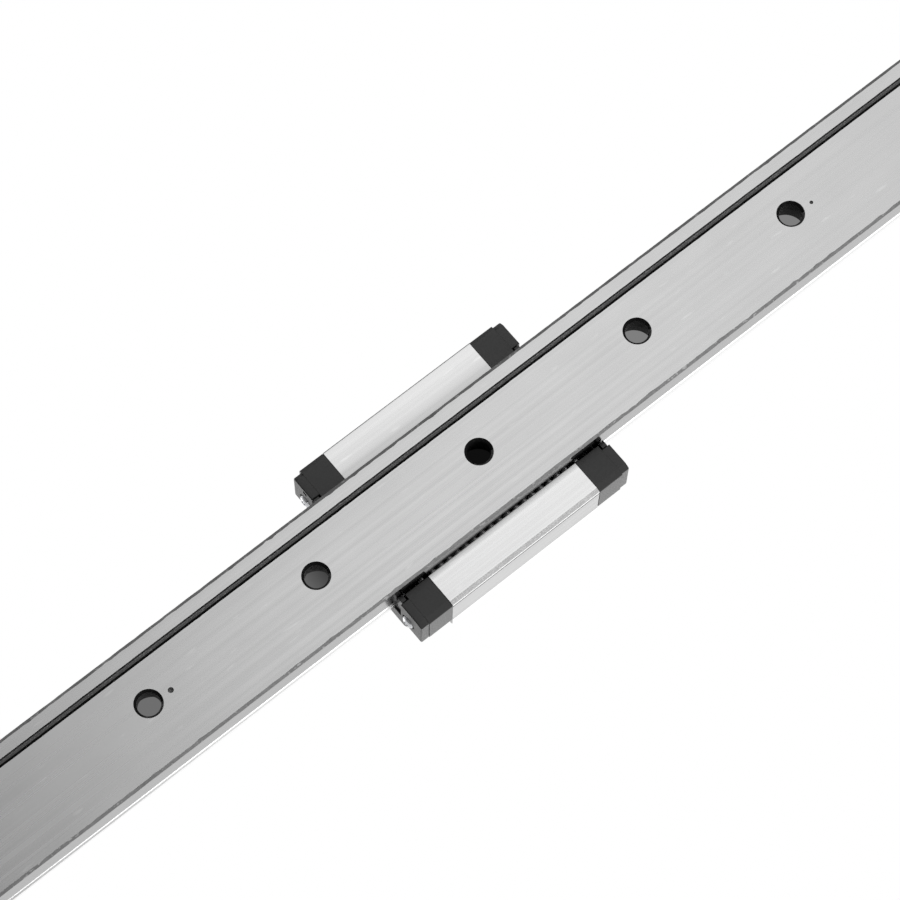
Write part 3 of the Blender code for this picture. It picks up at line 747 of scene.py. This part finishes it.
def rail_outline(wander):
    """The rail's profile. wander holds how far each of its six loose edges is moved."""
    left = [(RAIL_HALF - BASE_CHAMFER + wander[0], 0), (RAIL_HALF, BASE_CHAMFER + wander[1])]
    right = [(RAIL_HALF - DATUM_CHAMFER + wander[2], 0), (RAIL_HALF, BASE_CHAMFER + wander[3])]
    upper = raceway(-1, RAIL_HALF)
    upper += [(RAIL_HALF, RAIL_TOP - TOP_CHAMFER), (RAIL_HALF - TOP_CHAMFER, RAIL_TOP)]
    groove = []
    for step in range(GROOVE_STEPS + 1):
        a = math.pi * step / GROOVE_STEPS
        share = step / GROOVE_STEPS
        moved = (wander[4] * (1 - share) + wander[5] * share) * GROOVE_STEADY
        y = GROOVE_Y - GROOVE_RADIUS * math.cos(a) + moved
        groove.append((y, GROOVE_RADIUS * math.sin(a)))
    return groove + left + upper + mirrored(right + upper)


def rail_hole():
    small = 0.12 * MM
    profile = [
        (0, -PAST),
        (BORE + BORE_CHAMFER + PAST, -PAST),
        (BORE, BORE_CHAMFER),
        (BORE, COUNTERBORE_FLOOR - small),
        (BORE + small, COUNTERBORE_FLOOR),
        (COUNTERBORE - small, COUNTERBORE_FLOOR),
        (COUNTERBORE, COUNTERBORE_FLOOR + small),
        (COUNTERBORE, RAIL_TOP - small),
        (COUNTERBORE + small + PAST, RAIL_TOP + PAST),
        (0, RAIL_TOP + PAST),
    ]
    return turned("rail_hole", profile, HOLE_SIDES)


def punch_mark(radius):
    """The small round dent that a hardness tester leaves in the base."""
    ball = [(0, -radius * 1.5)]
    for step in range(1, 8):
        a = math.pi * step / 8
        ball.append((radius * math.sin(a) * 1.25, -radius * 0.25 - radius * 1.25 * math.cos(a)))
    return turned("punch_mark", ball + [(0, radius)], 24)


def rail_finish(middle, normal):
    across = abs(middle.y)
    between_flats = HAIR < middle.z < RAIL_TOP - HAIR
    # Sides and ends: below the raceway the dark painted-shade tone, above it a light one.
    if abs(middle.x) > RAIL_END - RAIL_RIM or across > RAIL_HALF - 10 * HAIR:
        return STRIP_STEEL if middle.z > RACE_Z and abs(normal.x) < 0.5 else SIDE_STEEL_PAINTED_SHADE
    if middle.z < BASE_CHAMFER and across > RAIL_HALF - 1.2 * DATUM_CHAMFER and abs(normal.z) < 0.95:
        return EDGE_SCALE
    # The groove is painted by side: the wall towards -Y lighter as painted light, the side towards +Y black
    # as painted shade, the middle in grey scale.
    if abs(middle.y - GROOVE_Y) < 1.1 * GROOVE_RADIUS and HAIR < middle.z < 1.1 * GROOVE_RADIUS:
        if middle.y < GROOVE_Y + GROOVE_PAINTED_LIGHT_TO:
            return EDGE_SCALE
        return BLACK_PAINTED_SHADE if middle.y > GROOVE_Y + GROOVE_PAINTED_SHADE_FROM else GROOVE_SCALE
    if not between_flats:
        return BASE_STEEL
    if across > WIRE_Y - 0.5 * MM:
        return RACE_STEEL
    from_hole = abs((middle.x + HOLE_PITCH / 2) % HOLE_PITCH - HOLE_PITCH / 2)
    if from_hole > COUNTERBORE + 0.2 * MM:
        return GROOVE_SCALE
    if normal.z > 0.7:
        return SIDE_STEEL_PAINTED_SHADE
    # Bore chamfer faces that turn towards -Y get the lighter chamfer scale, the rest the black bore scale:
    # painted light on that side.
    painted_lit_chamfer = middle.z < BORE_CHAMFER and normal.y < -0.35 and normal.z < -0.3
    return EDGE_SCALE if painted_lit_chamfer else BORE_SCALE


def make_rail():
    rng = random.Random(7)
    count = round(2 * (RAIL_END - RAIL_RIM) / STATION)
    rings = []
    for station in range(count + 1):
        x = (RAIL_END - RAIL_RIM) * (2 * station / count - 1)
        wander = []
        for _ in range(6):
            moved = rng.gauss(0, EDGE_WANDER)
            if rng.random() < BURR_SHARE:
                moved += rng.choice((-1, 1)) * BURR
            wander.append(max(-WANDER_LIMIT, min(WANDER_LIMIT, moved)))
        rings.append((x, rail_outline(wander)))
    plain = inset(rail_outline([0] * 6), RAIL_RIM)
    rings = [(-RAIL_END, plain)] + rings + [(RAIL_END, plain)]
    blank = loft("rail_bar", rings)
    hole = rail_hole()
    cutters = []
    for number in range(-HOLE_REACH, HOLE_REACH + 1):
        cutters.append((hole, upright((number * HOLE_PITCH, 0, 0))))
    for number, x, y, radius in PUNCH_MARKS:
        spot = (number * HOLE_PITCH + x * MM, y * MM, 0)
        cutters.append((punch_mark(radius * MM), upright(spot)))
    mesh = carved(blank, cutters)
    finishes = [BASE_STEEL, SIDE_STEEL_PAINTED_SHADE, RACE_STEEL, EDGE_SCALE]
    finishes += [GROOVE_SCALE, BORE_SCALE, BLACK_PAINTED_SHADE, STRIP_STEEL]
    return paint(mesh, finishes, rail_finish)


dress("rail_bar", make_rail(), "guide_rail", body="rail")

# %% [markdown]
# The block is a ground steel saddle. Its left wing has a wide, rough chamfer below and its
# right wing a small edge break. A fine line is scribed along each flank, and the four
# mounting holes have real M3 threads. A thread is a turned solid whose radius rises and
# falls along a helix: one grid of points, with a radius that depends on height and angle.

# %% Build the carriage block
ROOF_Z = RAIL_TOP + 0.45 * MM
CHANNEL_HALF = RAIL_HALF + 0.3 * MM
CHANNEL_CHAMFER = 0.1 * MM
SKIRT_WIDE = (0.72 * MM, 0.3 * MM)
SKIRT_BREAK = (0.2 * MM, 0.18 * MM)
FLANK_STEP_Z = CARRIAGE_TOP - 2.4 * MM
SCRIBE_Z = SKIRT_Z + 0.85 * MM
SCRIBE = 0.04 * MM
SCRIBE_TALL = 0.16 * MM
TOP_EDGE = 0.4 * MM
RETURN_BORE = 0.904 * MM
BLOCK_RIM = 0.03 * MM

THREAD_MINOR = 1.25 * MM
THREAD_MAJOR = 1.5 * MM
THREAD_PITCH = 0.5 * MM
THREAD_DEPTH = 3.0 * MM
THREAD_MOUTH = 0.3 * MM
SPACING_X = 12.0 * MM
SPACING_Y = 21.0 * MM
END_THREAD = 0.85 * MM
END_THREAD_DEPTH = 4.0 * MM


def block_side(skirt):
    """The block's outer side. skirt is its lower chamfer's width and height."""
    width, height = skirt
    return [
        (CHANNEL_HALF + CHANNEL_CHAMFER, SKIRT_Z, 0.03 * MM),
        (CARRIAGE_HALF - width, SKIRT_Z, 0.05 * MM),
        (CARRIAGE_HALF - SCRIBE, SKIRT_Z + height, 0.08 * MM),
        (CARRIAGE_HALF - SCRIBE, SCRIBE_Z - SCRIBE_TALL, 0),
        (CARRIAGE_HALF - 2 * SCRIBE, SCRIBE_Z, 0),
        (CARRIAGE_HALF - SCRIBE, SCRIBE_Z + SCRIBE_TALL, 0),
        (CARRIAGE_HALF - SCRIBE, FLANK_STEP_Z - 0.15 * MM, 0.04 * MM),
        (CARRIAGE_HALF, FLANK_STEP_Z, 0.04 * MM),
        (CARRIAGE_HALF, CARRIAGE_TOP - TOP_EDGE, 0.08 * MM),
        (CARRIAGE_HALF - TOP_EDGE, CARRIAGE_TOP, 0.08 * MM),
    ]


def block_outline():
    inner = [(CHANNEL_HALF, SKIRT_Z + CHANNEL_CHAMFER, 0)]
    inner += [(y, z, 0) for y, z in raceway(1, CHANNEL_HALF)]
    inner += [(CHANNEL_HALF, ROOF_Z - CHANNEL_CHAMFER, 0), (CHANNEL_HALF - CHANNEL_CHAMFER, ROOF_Z, 0)]
    outer = block_side(SKIRT_WIDE) + mirrored(block_side(SKIRT_BREAK))
    return rounded(outer + [(-y, z, r) for y, z, r in inner] + inner[::-1])


def thread(name, minor, major, pitch, low, high, mouth=0.0, sides=24, rows=8):
    """A threaded rod about Z from low to high. It widens by mouth at its upper end."""
    bm = bmesh.new()
    count = max(4, round((high - low) / pitch * rows))
    rings = []
    for row in range(count + 1):
        z = low + (high - low) * row / count
        ring = []
        for side in range(sides):
            turn = side / sides
            phase = (z / pitch - turn) % 1.0
            radius = minor + (major - minor) * (1 - abs(2 * phase - 1))
            radius = max(radius, minor + mouth - (high - z)) if mouth else radius
            around = math.tau * turn
            ring.append(bm.verts.new((radius * math.cos(around), radius * math.sin(around), z)))
        rings.append(ring)
    join_rings(bm, rings)
    for ring, z in ((rings[0], low), (rings[-1], high)):
        pole = bm.verts.new((0, 0, z))
        for i in range(sides):
            bm.faces.new((ring[i], ring[(i + 1) % sides], pole))
    return finished_mesh(bm, name)


def block_finish(middle, normal):
    across = abs(middle.y)
    on_flank = across > CARRIAGE_HALF - 0.3 * MM
    if abs(normal.x) > 0.9:
        return FLANK_STEEL
    if middle.z < SKIRT_Z + SKIRT_WIDE[1] and across > CARRIAGE_HALF - SKIRT_WIDE[0]:
        skirt = ROUGH_SKIRT if middle.y > 0 else EDGE_SCALE
        return skirt if abs(normal.z) < 0.998 else WING_STEEL
    # The scribed line is painted black: painted shade in the fine line.
    if on_flank and abs(middle.z - SCRIBE_Z) < SCRIBE_TALL:
        return BLACK_PAINTED_SHADE
    if middle.z < SKIRT_Z + HAIR:
        return WING_STEEL
    if on_flank and SCRIBE_Z < middle.z < FLANK_STEP_Z:
        return FLANK_STEEL
    if across < CHANNEL_HALF + 0.8 * MM and abs(middle.z - RACE_Z) < RACEWAY_RADIUS:
        return RACE_STEEL
    return BLOCK_STEEL


def make_block():
    blank = bar("block_body", block_outline(), -BLOCK_END, BLOCK_END, BLOCK_RIM)
    return_bore = drill("return_bore", RETURN_BORE, -BLOCK_END - PAST, BLOCK_END + PAST)
    end_thread = drill("end_thread", END_THREAD, -END_THREAD_DEPTH, PAST, 24)
    cutters = []
    for side in (1, -1):
        cutters.append((return_bore, along_x((0, side * RETURN_Y, RACE_Z))))
        for end in (0, math.pi):
            turn = Matrix.Rotation(end, 4, "Z")
            cutters.append((end_thread, turn @ along_x((BLOCK_END, side * SCREW_Y, SCREW_Z))))
    tapped = thread(
        "tapped_hole", THREAD_MINOR, THREAD_MAJOR, THREAD_PITCH, -THREAD_DEPTH, 0.1 * MM, THREAD_MOUTH
    )
    for x in (-SPACING_X / 2, SPACING_X / 2):
        for y in (-SPACING_Y / 2, SPACING_Y / 2):
            cutters.append((tapped, upright((x, y, CARRIAGE_TOP))))
    mesh = carved(blank, cutters)
    finishes = [BLOCK_STEEL, FLANK_STEEL, ROUGH_SKIRT, RACE_STEEL, WING_STEEL, EDGE_SCALE, BLACK_PAINTED_SHADE]
    return paint(mesh, finishes, block_finish)


slide = Matrix.Translation((SLIDE_X, 0, 0))
dress("block_body", make_block(), "carriage_block", slide)

# %% [markdown]
# An end cap turns the balls round from the loaded row to the return bore, so it is as wide
# as the block and has the ball turn inside. Its wings have a flat ledge and the middle rises
# above it. The cap is a saddle profile with soft moulded corners and a hair of a bevel
# towards the seal plate, because on the real guide the joint is barely a line. The rear end
# is the front end turned round, so what lies on its left there has a negative sign.

# %% Build the end caps
CAP_CHANNEL_HALF = RAIL_HALF + 0.35 * MM
CAP_CHANNEL_CHAMFER = 0.1 * MM
CAP_SKIRTS = ((1.0 * MM, 0.38 * MM), (0.65 * MM, 0.35 * MM))
LEDGE_Z = CARRIAGE_TOP - 2.5 * MM
LEDGE_WIDTH = 2.8 * MM
SHOULDER_RUN = 1.0 * MM
CAP_BEVEL = 0.012 * MM
MOULD_ROUND = 0.15 * MM
SEAT_GAP = 0.05 * MM
TURN_RADIUS = (RETURN_Y - LOADED_Y) / 2
TURN_Y = (RETURN_Y + LOADED_Y) / 2
SHANK_ROOM = 0.9 * MM
PLUG_ROOM = 1.05 * MM
PLUG_ROOM_DEPTH = 2.85 * MM
WIRE_ROOM = 0.1 * MM
WIRE_HOOK = 2.3 * MM


def cap_side(half, top, channel_half, skirt, depth, soft):
    """One outer side of a saddle, drawn in by depth. skirt is its lower chamfer."""
    width, height = skirt
    low = SKIRT_Z + depth / 2
    foot = half - LEDGE_WIDTH - depth / 2
    return [
        (channel_half + CAP_CHANNEL_CHAMFER, low, 0),
        (half - width, low, soft),
        (half - depth, low + height, soft),
        (half - depth, LEDGE_Z - depth, soft),
        (foot, LEDGE_Z - depth, soft * 2),
        (foot - SHOULDER_RUN, top - depth, soft * 2),
    ]


def saddle(halves, skirts, top, channel_half, channel_roof, depth, soft=MOULD_ROUND):
    """A winged saddle over the rail. halves and skirts are those of its left and right side."""
    left, right = (
        cap_side(half, top, channel_half, skirt, depth, soft) for half, skirt in zip(halves, skirts)
    )
    inner = [(channel_half, SKIRT_Z + CAP_CHANNEL_CHAMFER, 0), (channel_half, channel_roof, soft)]
    corners = left + mirrored(right) + [(-y, z, r) for y, z, r in inner] + inner[::-1]
    return rounded(corners)


def ball_turn():
    """The room of the turn, with the guide's room in its middle: a fat half ring about Z."""
    profile = [(0, -RETURN_BORE)]
    for step in range(17):
        a = math.pi * (step / 16 - 0.5)
        profile.append((TURN_RADIUS + RETURN_BORE * math.cos(a), RETURN_BORE * math.sin(a)))
    profile.append((0, RETURN_BORE))
    return turned("ball_turn", profile, 48)


def block_of(name, low, high):
    outline = [(low[1], low[2]), (high[1], low[2]), (high[1], high[2]), (low[1], high[2])]
    return loft(name, [(low[0], outline), (high[0], outline)])


def cap_mesh(skirts):
    def profile(depth):
        halves = (CARRIAGE_HALF, CARRIAGE_HALF)
        return saddle(halves, skirts, CAP_TOP, CAP_CHANNEL_HALF, ROOF_Z, depth)

    rim = 0.02 * MM
    rings = [
        (CAP_INNER, inset(profile(0), rim)),
        (CAP_INNER + rim, profile(0)),
        (CAP_OUTER - CAP_BEVEL - rim, profile(0)),
        (CAP_OUTER - CAP_BEVEL * 0.7, profile(CAP_BEVEL * 0.22)),
        (CAP_OUTER, profile(CAP_BEVEL)),
    ]
    shank = drill("shank", SHANK_ROOM, -PAST, CAP_OUTER - CAP_INNER + PAST)
    plug = drill("plug", PLUG_ROOM, -PLUG_ROOM_DEPTH, PAST)
    slot = block_of(
        "hook_slot",
        (CAP_OUTER - 2 * (WIRE_RADIUS + WIRE_ROOM), LOADED_Y, RACE_Z - WIRE_RADIUS - WIRE_ROOM),
        (CAP_OUTER + PAST, WIRE_Y + WIRE_HOOK + WIRE_ROOM, RACE_Z + WIRE_RADIUS + WIRE_ROOM),
    )
    cutters = [(plug, along_x((SEAL_OUTER, 0, PLUG_Z)))]
    for side in (1, -1):
        cutters.append((ball_turn(), upright((CAP_INNER, side * TURN_Y, RACE_Z))))
        cutters.append((shank, along_x((CAP_INNER, side * SCREW_Y, SCREW_Z))))
    flipped = Matrix.Rotation(math.pi, 4, "X") @ upright((0, 0, -2 * RACE_Z))
    cutters += [(slot, Matrix.Identity(4)), (slot, flipped)]
    return paint(carved(loft("cap", rings), cutters), [BLACK_PLASTIC])


ends = (("front", slide), ("rear", slide @ Matrix.Rotation(math.pi, 4, "Z")))
quarters = []
for end, placing in ends:
    for side, sign in (("left", 1), ("right", -1)):
        quarters.append((end, side, placing, sign if end == "front" else -sign))

for end, placing in ends:
    cap = cap_mesh(CAP_SKIRTS if end == "front" else CAP_SKIRTS[::-1])
    dress(f"cap_{end}", cap, f"end_cap_{end}", placing)

# %% [markdown]
# The seal plate is the thin outer cover of each end. It is a little narrower than the cap,
# by a different amount on each side, so a small step shows at the joint. It has recesses
# for the two screw heads and the grease plug, and a moulded slot beside one of them.

# %% Build the seal plates
LIP_GAP = 0.08 * MM
LIP_WIDTH = 1.1 * MM
LIP_ROOF_WIDTH = 0.75 * MM
PLATE_BEVEL = 0.012 * MM
PLATE_OUTER_BEVEL = 0.2 * MM
JOINT_FILL = 0.04 * MM
PLATE_HALVES = {"front": (14.85 * MM, 14.7 * MM), "rear": (14.6 * MM, 14.9 * MM)}
HEAD_RECESS = 0.5 * MM
HEAD_ROOM = 1.3 * MM
FLARE = 0.08 * MM
SLOT_DEPTH = 0.5 * MM
SLOT_Y = (11.5 * MM, 12.3 * MM)
SLOT_RISE = (0.5 * MM, 1.4 * MM)


def flared(name, radius, depth):
    """A round cutter whose mouth is broken by a small chamfer."""
    mouth = radius + FLARE + PAST
    profile = [(0, -depth), (radius, -depth), (radius, -FLARE), (mouth, PAST), (0, PAST)]
    return turned(name, profile, 40)


def plate_mesh(halves, skirts):
    def profile(depth):
        half = RAIL_HALF + LIP_GAP + LIP_WIDTH + SEAT_GAP
        roof = RAIL_TOP + LIP_GAP + LIP_ROOF_WIDTH + SEAT_GAP
        return saddle(halves, skirts, PLATE_TOP, half, roof, depth, 0.12 * MM)

    rings = [
        (SEAL_INNER - JOINT_FILL, profile(PLATE_BEVEL)),
        (SEAL_INNER - JOINT_FILL + PLATE_BEVEL, profile(0)),
        (SEAL_OUTER - PLATE_OUTER_BEVEL, profile(0)),
        (SEAL_OUTER - 0.3 * PLATE_OUTER_BEVEL, profile(0.35 * PLATE_OUTER_BEVEL)),
        (SEAL_OUTER, profile(PLATE_OUTER_BEVEL)),
    ]
    through = SEAL_OUTER - SEAL_INNER + PAST
    shank = drill("shank", SHANK_ROOM, -through, PAST)
    recess = flared("head_recess", HEAD_ROOM, HEAD_RECESS)
    plug = flared("plug", PLUG_ROOM, through)
    slot_low = (SEAL_OUTER - SLOT_DEPTH, SLOT_Y[0], SKIRT_Z + SLOT_RISE[0])
    slot_high = (SEAL_OUTER + PAST, SLOT_Y[1], SKIRT_Z + SLOT_RISE[1])
    slot = block_of("moulded_slot", slot_low, slot_high)
    cutters = [(plug, along_x((SEAL_OUTER, 0, PLUG_Z))), (slot, Matrix.Identity(4))]
    for side in (1, -1):
        seat = along_x((SEAL_OUTER, side * SCREW_Y, SCREW_Z))
        cutters += [(shank, seat), (recess, seat)]
    return paint(carved(loft("seal_plate", rings), cutters), [BLACK_PLASTIC])


for end, placing in ends:
    plate = plate_mesh(PLATE_HALVES[end], CAP_SKIRTS if end == "front" else CAP_SKIRTS[::-1])
    dress(f"seal_plate_{end}", plate, f"end_seal_plate_{end}", placing)

# %% [markdown]
# The lip is nitrile rubber bonded to the plate. It follows the rail's sides and top and
# dips into both raceways. A wiping lip is two thin ridges with a groove between them, so
# the profile's rail side moves in and out a few times over the lip's small thickness.

# %% Build the seal lips
LIP_NOSE = 0.4 * MM
LIP_BOTTOM = SKIRT_Z + 0.1 * MM
LIP_GROOVE = 0.16 * MM


def lip_outline(back):
    """The lip's profile with its rail side drawn back from the rail."""
    near = RAIL_HALF + LIP_GAP
    far = near + LIP_WIDTH
    mouth = RACEWAY_RADIUS
    roof = RAIL_TOP + LIP_GAP
    soft = 0.15 * MM
    outer = [(near + back, LIP_BOTTOM, soft / 2), (far, LIP_BOTTOM, soft)]
    outer.append((far, roof + LIP_ROOF_WIDTH, soft))
    inner = [
        (near + back, RACE_Z - mouth, soft),
        (near + back - LIP_NOSE, RACE_Z - mouth / 2, soft),
        (near + back - LIP_NOSE, RACE_Z + mouth / 2, soft),
        (near + back, RACE_Z + mouth, soft),
        (near + back, roof + back, soft),
    ]
    corners = outer + mirrored(outer) + [(-y, z, r) for y, z, r in inner] + inner[::-1]
    return rounded(corners)


def lip_mesh():
    low = lip_low.x - SLIDE_X
    high = lip_high.x - SLIDE_X
    ridges = [(0, 0.6), (0.08, 0.1), (0.2, 0), (0.32, 0.4), (0.42, 0.95), (0.5, 1)]
    ridges += [(1 - share, back) for share, back in reversed(ridges[:-1])]
    rings = [(low + (high - low) * share, lip_outline(back * LIP_GROOVE)) for share, back in ridges]
    return paint(loft("seal_lip", rings), [SEAL_RUBBER])


lip = lip_mesh()
for end, placing in ends:
    dress(f"seal_lip_{end}", lip, f"end_seal_lip_{end}", placing)

# %% [markdown]
# Four small pan head screws hold the caps and plates to the block. A domed head with a
# cross recess is a turned profile with two tapered slots cut in it, and its shank is the
# same thread function that tapped the block, this time as the solid itself.

# %% Build the screws
HEAD_RADIUS = 1.05 * MM
HEAD_HEIGHT = 1.0 * MM
SCREW_MINOR = 0.66 * MM
SCREW_MAJOR = 0.8 * MM
SCREW_PITCH = 0.35 * MM
SHANK_END = screw_low.x - SLIDE_X
SHANK_LENGTH = SEAL_OUTER - HEAD_RECESS - SHANK_END
CROSS_LENGTH = 0.62 * MM
CROSS_WIDTH = 0.17 * MM
CROSS_DEPTH = 0.55 * MM
CROSS_TWIST = math.radians(27)
NECK_LOW = SEAT_GAP - 0.3 * MM


def screw_head():
    profile = [(0, NECK_LOW), (SCREW_MAJOR, NECK_LOW), (SCREW_MAJOR, SEAT_GAP)]
    profile += [(HEAD_RADIUS - 0.05 * MM, SEAT_GAP), (HEAD_RADIUS, SEAT_GAP + 0.05 * MM)]
    rise = HEAD_HEIGHT * 0.55
    for step in range(9):
        a = math.pi / 2 * step / 8
        profile.append((HEAD_RADIUS * math.cos(a) ** 0.8, HEAD_HEIGHT - rise + rise * math.sin(a)))
    profile[-1] = (0, HEAD_HEIGHT)
    return turned("screw_head", profile, 40)


def cross_blade():
    """One tapered blade of the cross recess, as a cutter that points down."""
    above = 0.3 * MM
    levels = [(HEAD_HEIGHT - CROSS_DEPTH, 0.25, 0.5), (HEAD_HEIGHT, 1.0, 1.0)]
    levels.append((HEAD_HEIGHT + above, 1.2, 1.1))
    rings = []
    for z, long, wide in levels:
        x = CROSS_LENGTH * long
        y = CROSS_WIDTH * wide
        rings.append([(-x, -y, z), (x, -y, z), (x, y, z), (-x, y, z)])
    return skin("cross_blade", rings)


def screw_mesh():
    turns = (CROSS_TWIST, CROSS_TWIST + math.pi / 2)
    blades = [(cross_blade(), Matrix.Rotation(turn, 4, "Z")) for turn in turns]
    head = carved(screw_head(), blades)
    shank = thread("shank", SCREW_MINOR, SCREW_MAJOR, SCREW_PITCH, -SHANK_LENGTH, NECK_LOW)
    bm = bmesh.new()
    bm.from_mesh(head)
    bm.from_mesh(shank)
    return paint(finished_mesh(bm, "screw"), [ZINC])


screw = screw_mesh()
for end, side, placing, sign in quarters:
    seat = placing @ along_x((SEAL_OUTER - HEAD_RECESS, sign * SCREW_Y, SCREW_Z))
    dress(f"cap_screw_{end}_{side}", screw, f"end_cap_screw_{end}_{side}", seat)

# %% [markdown]
# The grease plug closes the lubrication port of each end. It is a small turned plug with a
# rounded rim and a slot for a screwdriver.

# %% Build the grease plugs
PLUG_RADIUS = 1.0 * MM
PLUG_LENGTH = plug_high.x - plug_low.x
PLUG_FACE = plug_high.x - SLIDE_X
PLUG_SLOT_HALF = 0.14 * MM
PLUG_SLOT_DEPTH = 0.35 * MM
PLUG_TWIST = 0.6


def plug_mesh():
    edge = 0.15 * MM
    profile = [(0, -PLUG_LENGTH), (PLUG_RADIUS - edge, -PLUG_LENGTH), (PLUG_RADIUS, -PLUG_LENGTH + edge)]
    for step in range(5):
        a = math.pi / 2 * step / 4
        profile.append((PLUG_RADIUS - edge * (1 - math.cos(a)), -edge + edge * math.sin(a)))
    profile.append((0, 0))
    slot = block_of(
        "plug_slot",
        (-2 * PLUG_RADIUS, -PLUG_SLOT_HALF, -PLUG_SLOT_DEPTH),
        (2 * PLUG_RADIUS, PLUG_SLOT_HALF, PLUG_RADIUS),
    )
    mesh = carved(turned("grease_plug", profile, 40), [(slot, Matrix.Rotation(PLUG_TWIST, 4, "Z"))])
    return paint(mesh, [ZINC])


plug = plug_mesh()
for end, placing in ends:
    seat = placing @ along_x((PLUG_FACE, 0, PLUG_Z))
    dress(f"plug_{end}", plug, f"grease_plug_{end}", seat)

# %% [markdown]
# Inside each cap two half spools are the inner wall of the ball turns. A half spool is a
# profile with a hollow rim, turned through half a circle.

# %% Build the return guides
GUIDE_HALF = RETURN_BORE - SEAT_GAP


def guide_mesh():
    reach = math.asin(GUIDE_HALF / RETURN_BORE)
    profile = [(0, -GUIDE_HALF)]
    for step in range(13):
        a = reach * (step / 6 - 1)
        profile.append((TURN_RADIUS - RETURN_BORE * math.cos(a), RETURN_BORE * math.sin(a)))
    profile.append((0, GUIDE_HALF))
    mesh = turned("return_guide", profile, 32, math.pi)
    return paint(mesh, [GUIDE_PLASTIC])


guide = guide_mesh()
for end, side, placing, sign in quarters:
    seat = placing @ upright((CAP_INNER + SEAT_GAP, sign * TURN_Y, RACE_Z))
    dress(f"guide_{end}_{side}", guide, f"return_guide_{end}_{side}", seat)

# %% [markdown]
# The balls are 1.588 mm across and touch their neighbours. In the solids a row is a string
# of joined beads; here each ball is a true sphere, so it gets a round highlight in the gap
# beside the rail. The straight rows fill the block, and four balls run round each turn.

# %% Fill in the balls
BALL_PITCH = 1.56 * MM
BALL_EASE = 0.985
TURN_ANGLE = 2 * math.asin(BALL_PITCH / 2 / TURN_RADIUS)
TURN_COUNT = int(math.pi / TURN_ANGLE) + 1
ROW_COUNT = round((row_high.x - row_low.x - 2 * BALL_RADIUS) / BALL_PITCH) + 1


def balls(name, places):
    bm = bmesh.new()
    for place in places:
        bmesh.ops.create_uvsphere(
            bm, u_segments=24, v_segments=14, radius=BALL_RADIUS * BALL_EASE, matrix=upright(place)
        )
    return paint(finished_mesh(bm, name), [BALL_STEEL])


row = balls("ball_row", [((i - (ROW_COUNT - 1) / 2) * BALL_PITCH, 0, 0) for i in range(ROW_COUNT)])
turn_places = []
for i in range(TURN_COUNT):
    a = (i - (TURN_COUNT - 1) / 2) * TURN_ANGLE
    turn_places.append((TURN_RADIUS * math.cos(a), TURN_RADIUS * math.sin(a), 0))
turn_row = balls("ball_turn_row", turn_places)

for side, sign in (("left", 1), ("right", -1)):
    for kind, y in (("loaded", LOADED_Y), ("return", RETURN_Y)):
        seat = slide @ upright((0, sign * y, RACE_Z))
        dress(f"{kind}_row_{side}", row, f"{kind}_balls_{side}", seat)
    for end, placing in ends:
        way = sign if end == "front" else -sign
        seat = placing @ upright((CAP_INNER + SEAT_GAP, way * TURN_Y, RACE_Z))
        dress(f"turn_row_{end}_{side}", turn_row, f"turn_balls_{end}_{side}", seat)
print(f"{ROW_COUNT} balls in a row, {TURN_COUNT} in a turn")

# %% [markdown]
# A thin steel wire runs through the rail's raceway along each loaded row and keeps the balls
# in when the carriage is slid off the rail. Its ends are bent outwards and hook into the
# caps. A curve with a round bevel is the natural way to make a wire.

# %% Bend the retaining wires
WIRE_BEND = 0.5 * MM
WIRE_END = CAP_OUTER - WIRE_RADIUS - WIRE_ROOM


def wire_mesh():
    points = []
    for step in range(9):
        a = math.pi / 2 * (step / 8 - 1)
        points.append((WIRE_END - WIRE_BEND + WIRE_BEND * math.cos(a), WIRE_BEND + WIRE_BEND * math.sin(a)))
    points.append((WIRE_END, WIRE_HOOK))
    points = [(-x, y) for x, y in reversed(points)] + points
    curve = bpy.data.curves.new("retaining_wire", "CURVE")
    curve.dimensions = "3D"
    curve.bevel_depth = WIRE_RADIUS
    curve.bevel_resolution = 4
    curve.use_fill_caps = True
    spline = curve.splines.new("POLY")
    spline.points.add(len(points) - 1)
    for spot, (x, y) in zip(spline.points, points):
        spot.co = (x, y, 0, 1)
    bent = bpy.data.objects.new("retaining_wire", curve)
    bpy.context.scene.collection.objects.link(bent)
    bpy.context.view_layer.update()
    mesh = bpy.data.meshes.new_from_object(bent.evaluated_get(bpy.context.evaluated_depsgraph_get()))
    bpy.data.objects.remove(bent, do_unlink=True)
    return paint(mesh, [ZINC])


wire = wire_mesh()
for side, sign in (("left", 1), ("right", -1)):
    turn = Matrix.Rotation(0 if sign > 0 else math.pi, 4, "X")
    seat = slide @ upright((0, sign * WIRE_Y, RACE_Z)) @ turn
    dress(f"wire_{side}", wire, f"ball_retainer_{side}", seat)
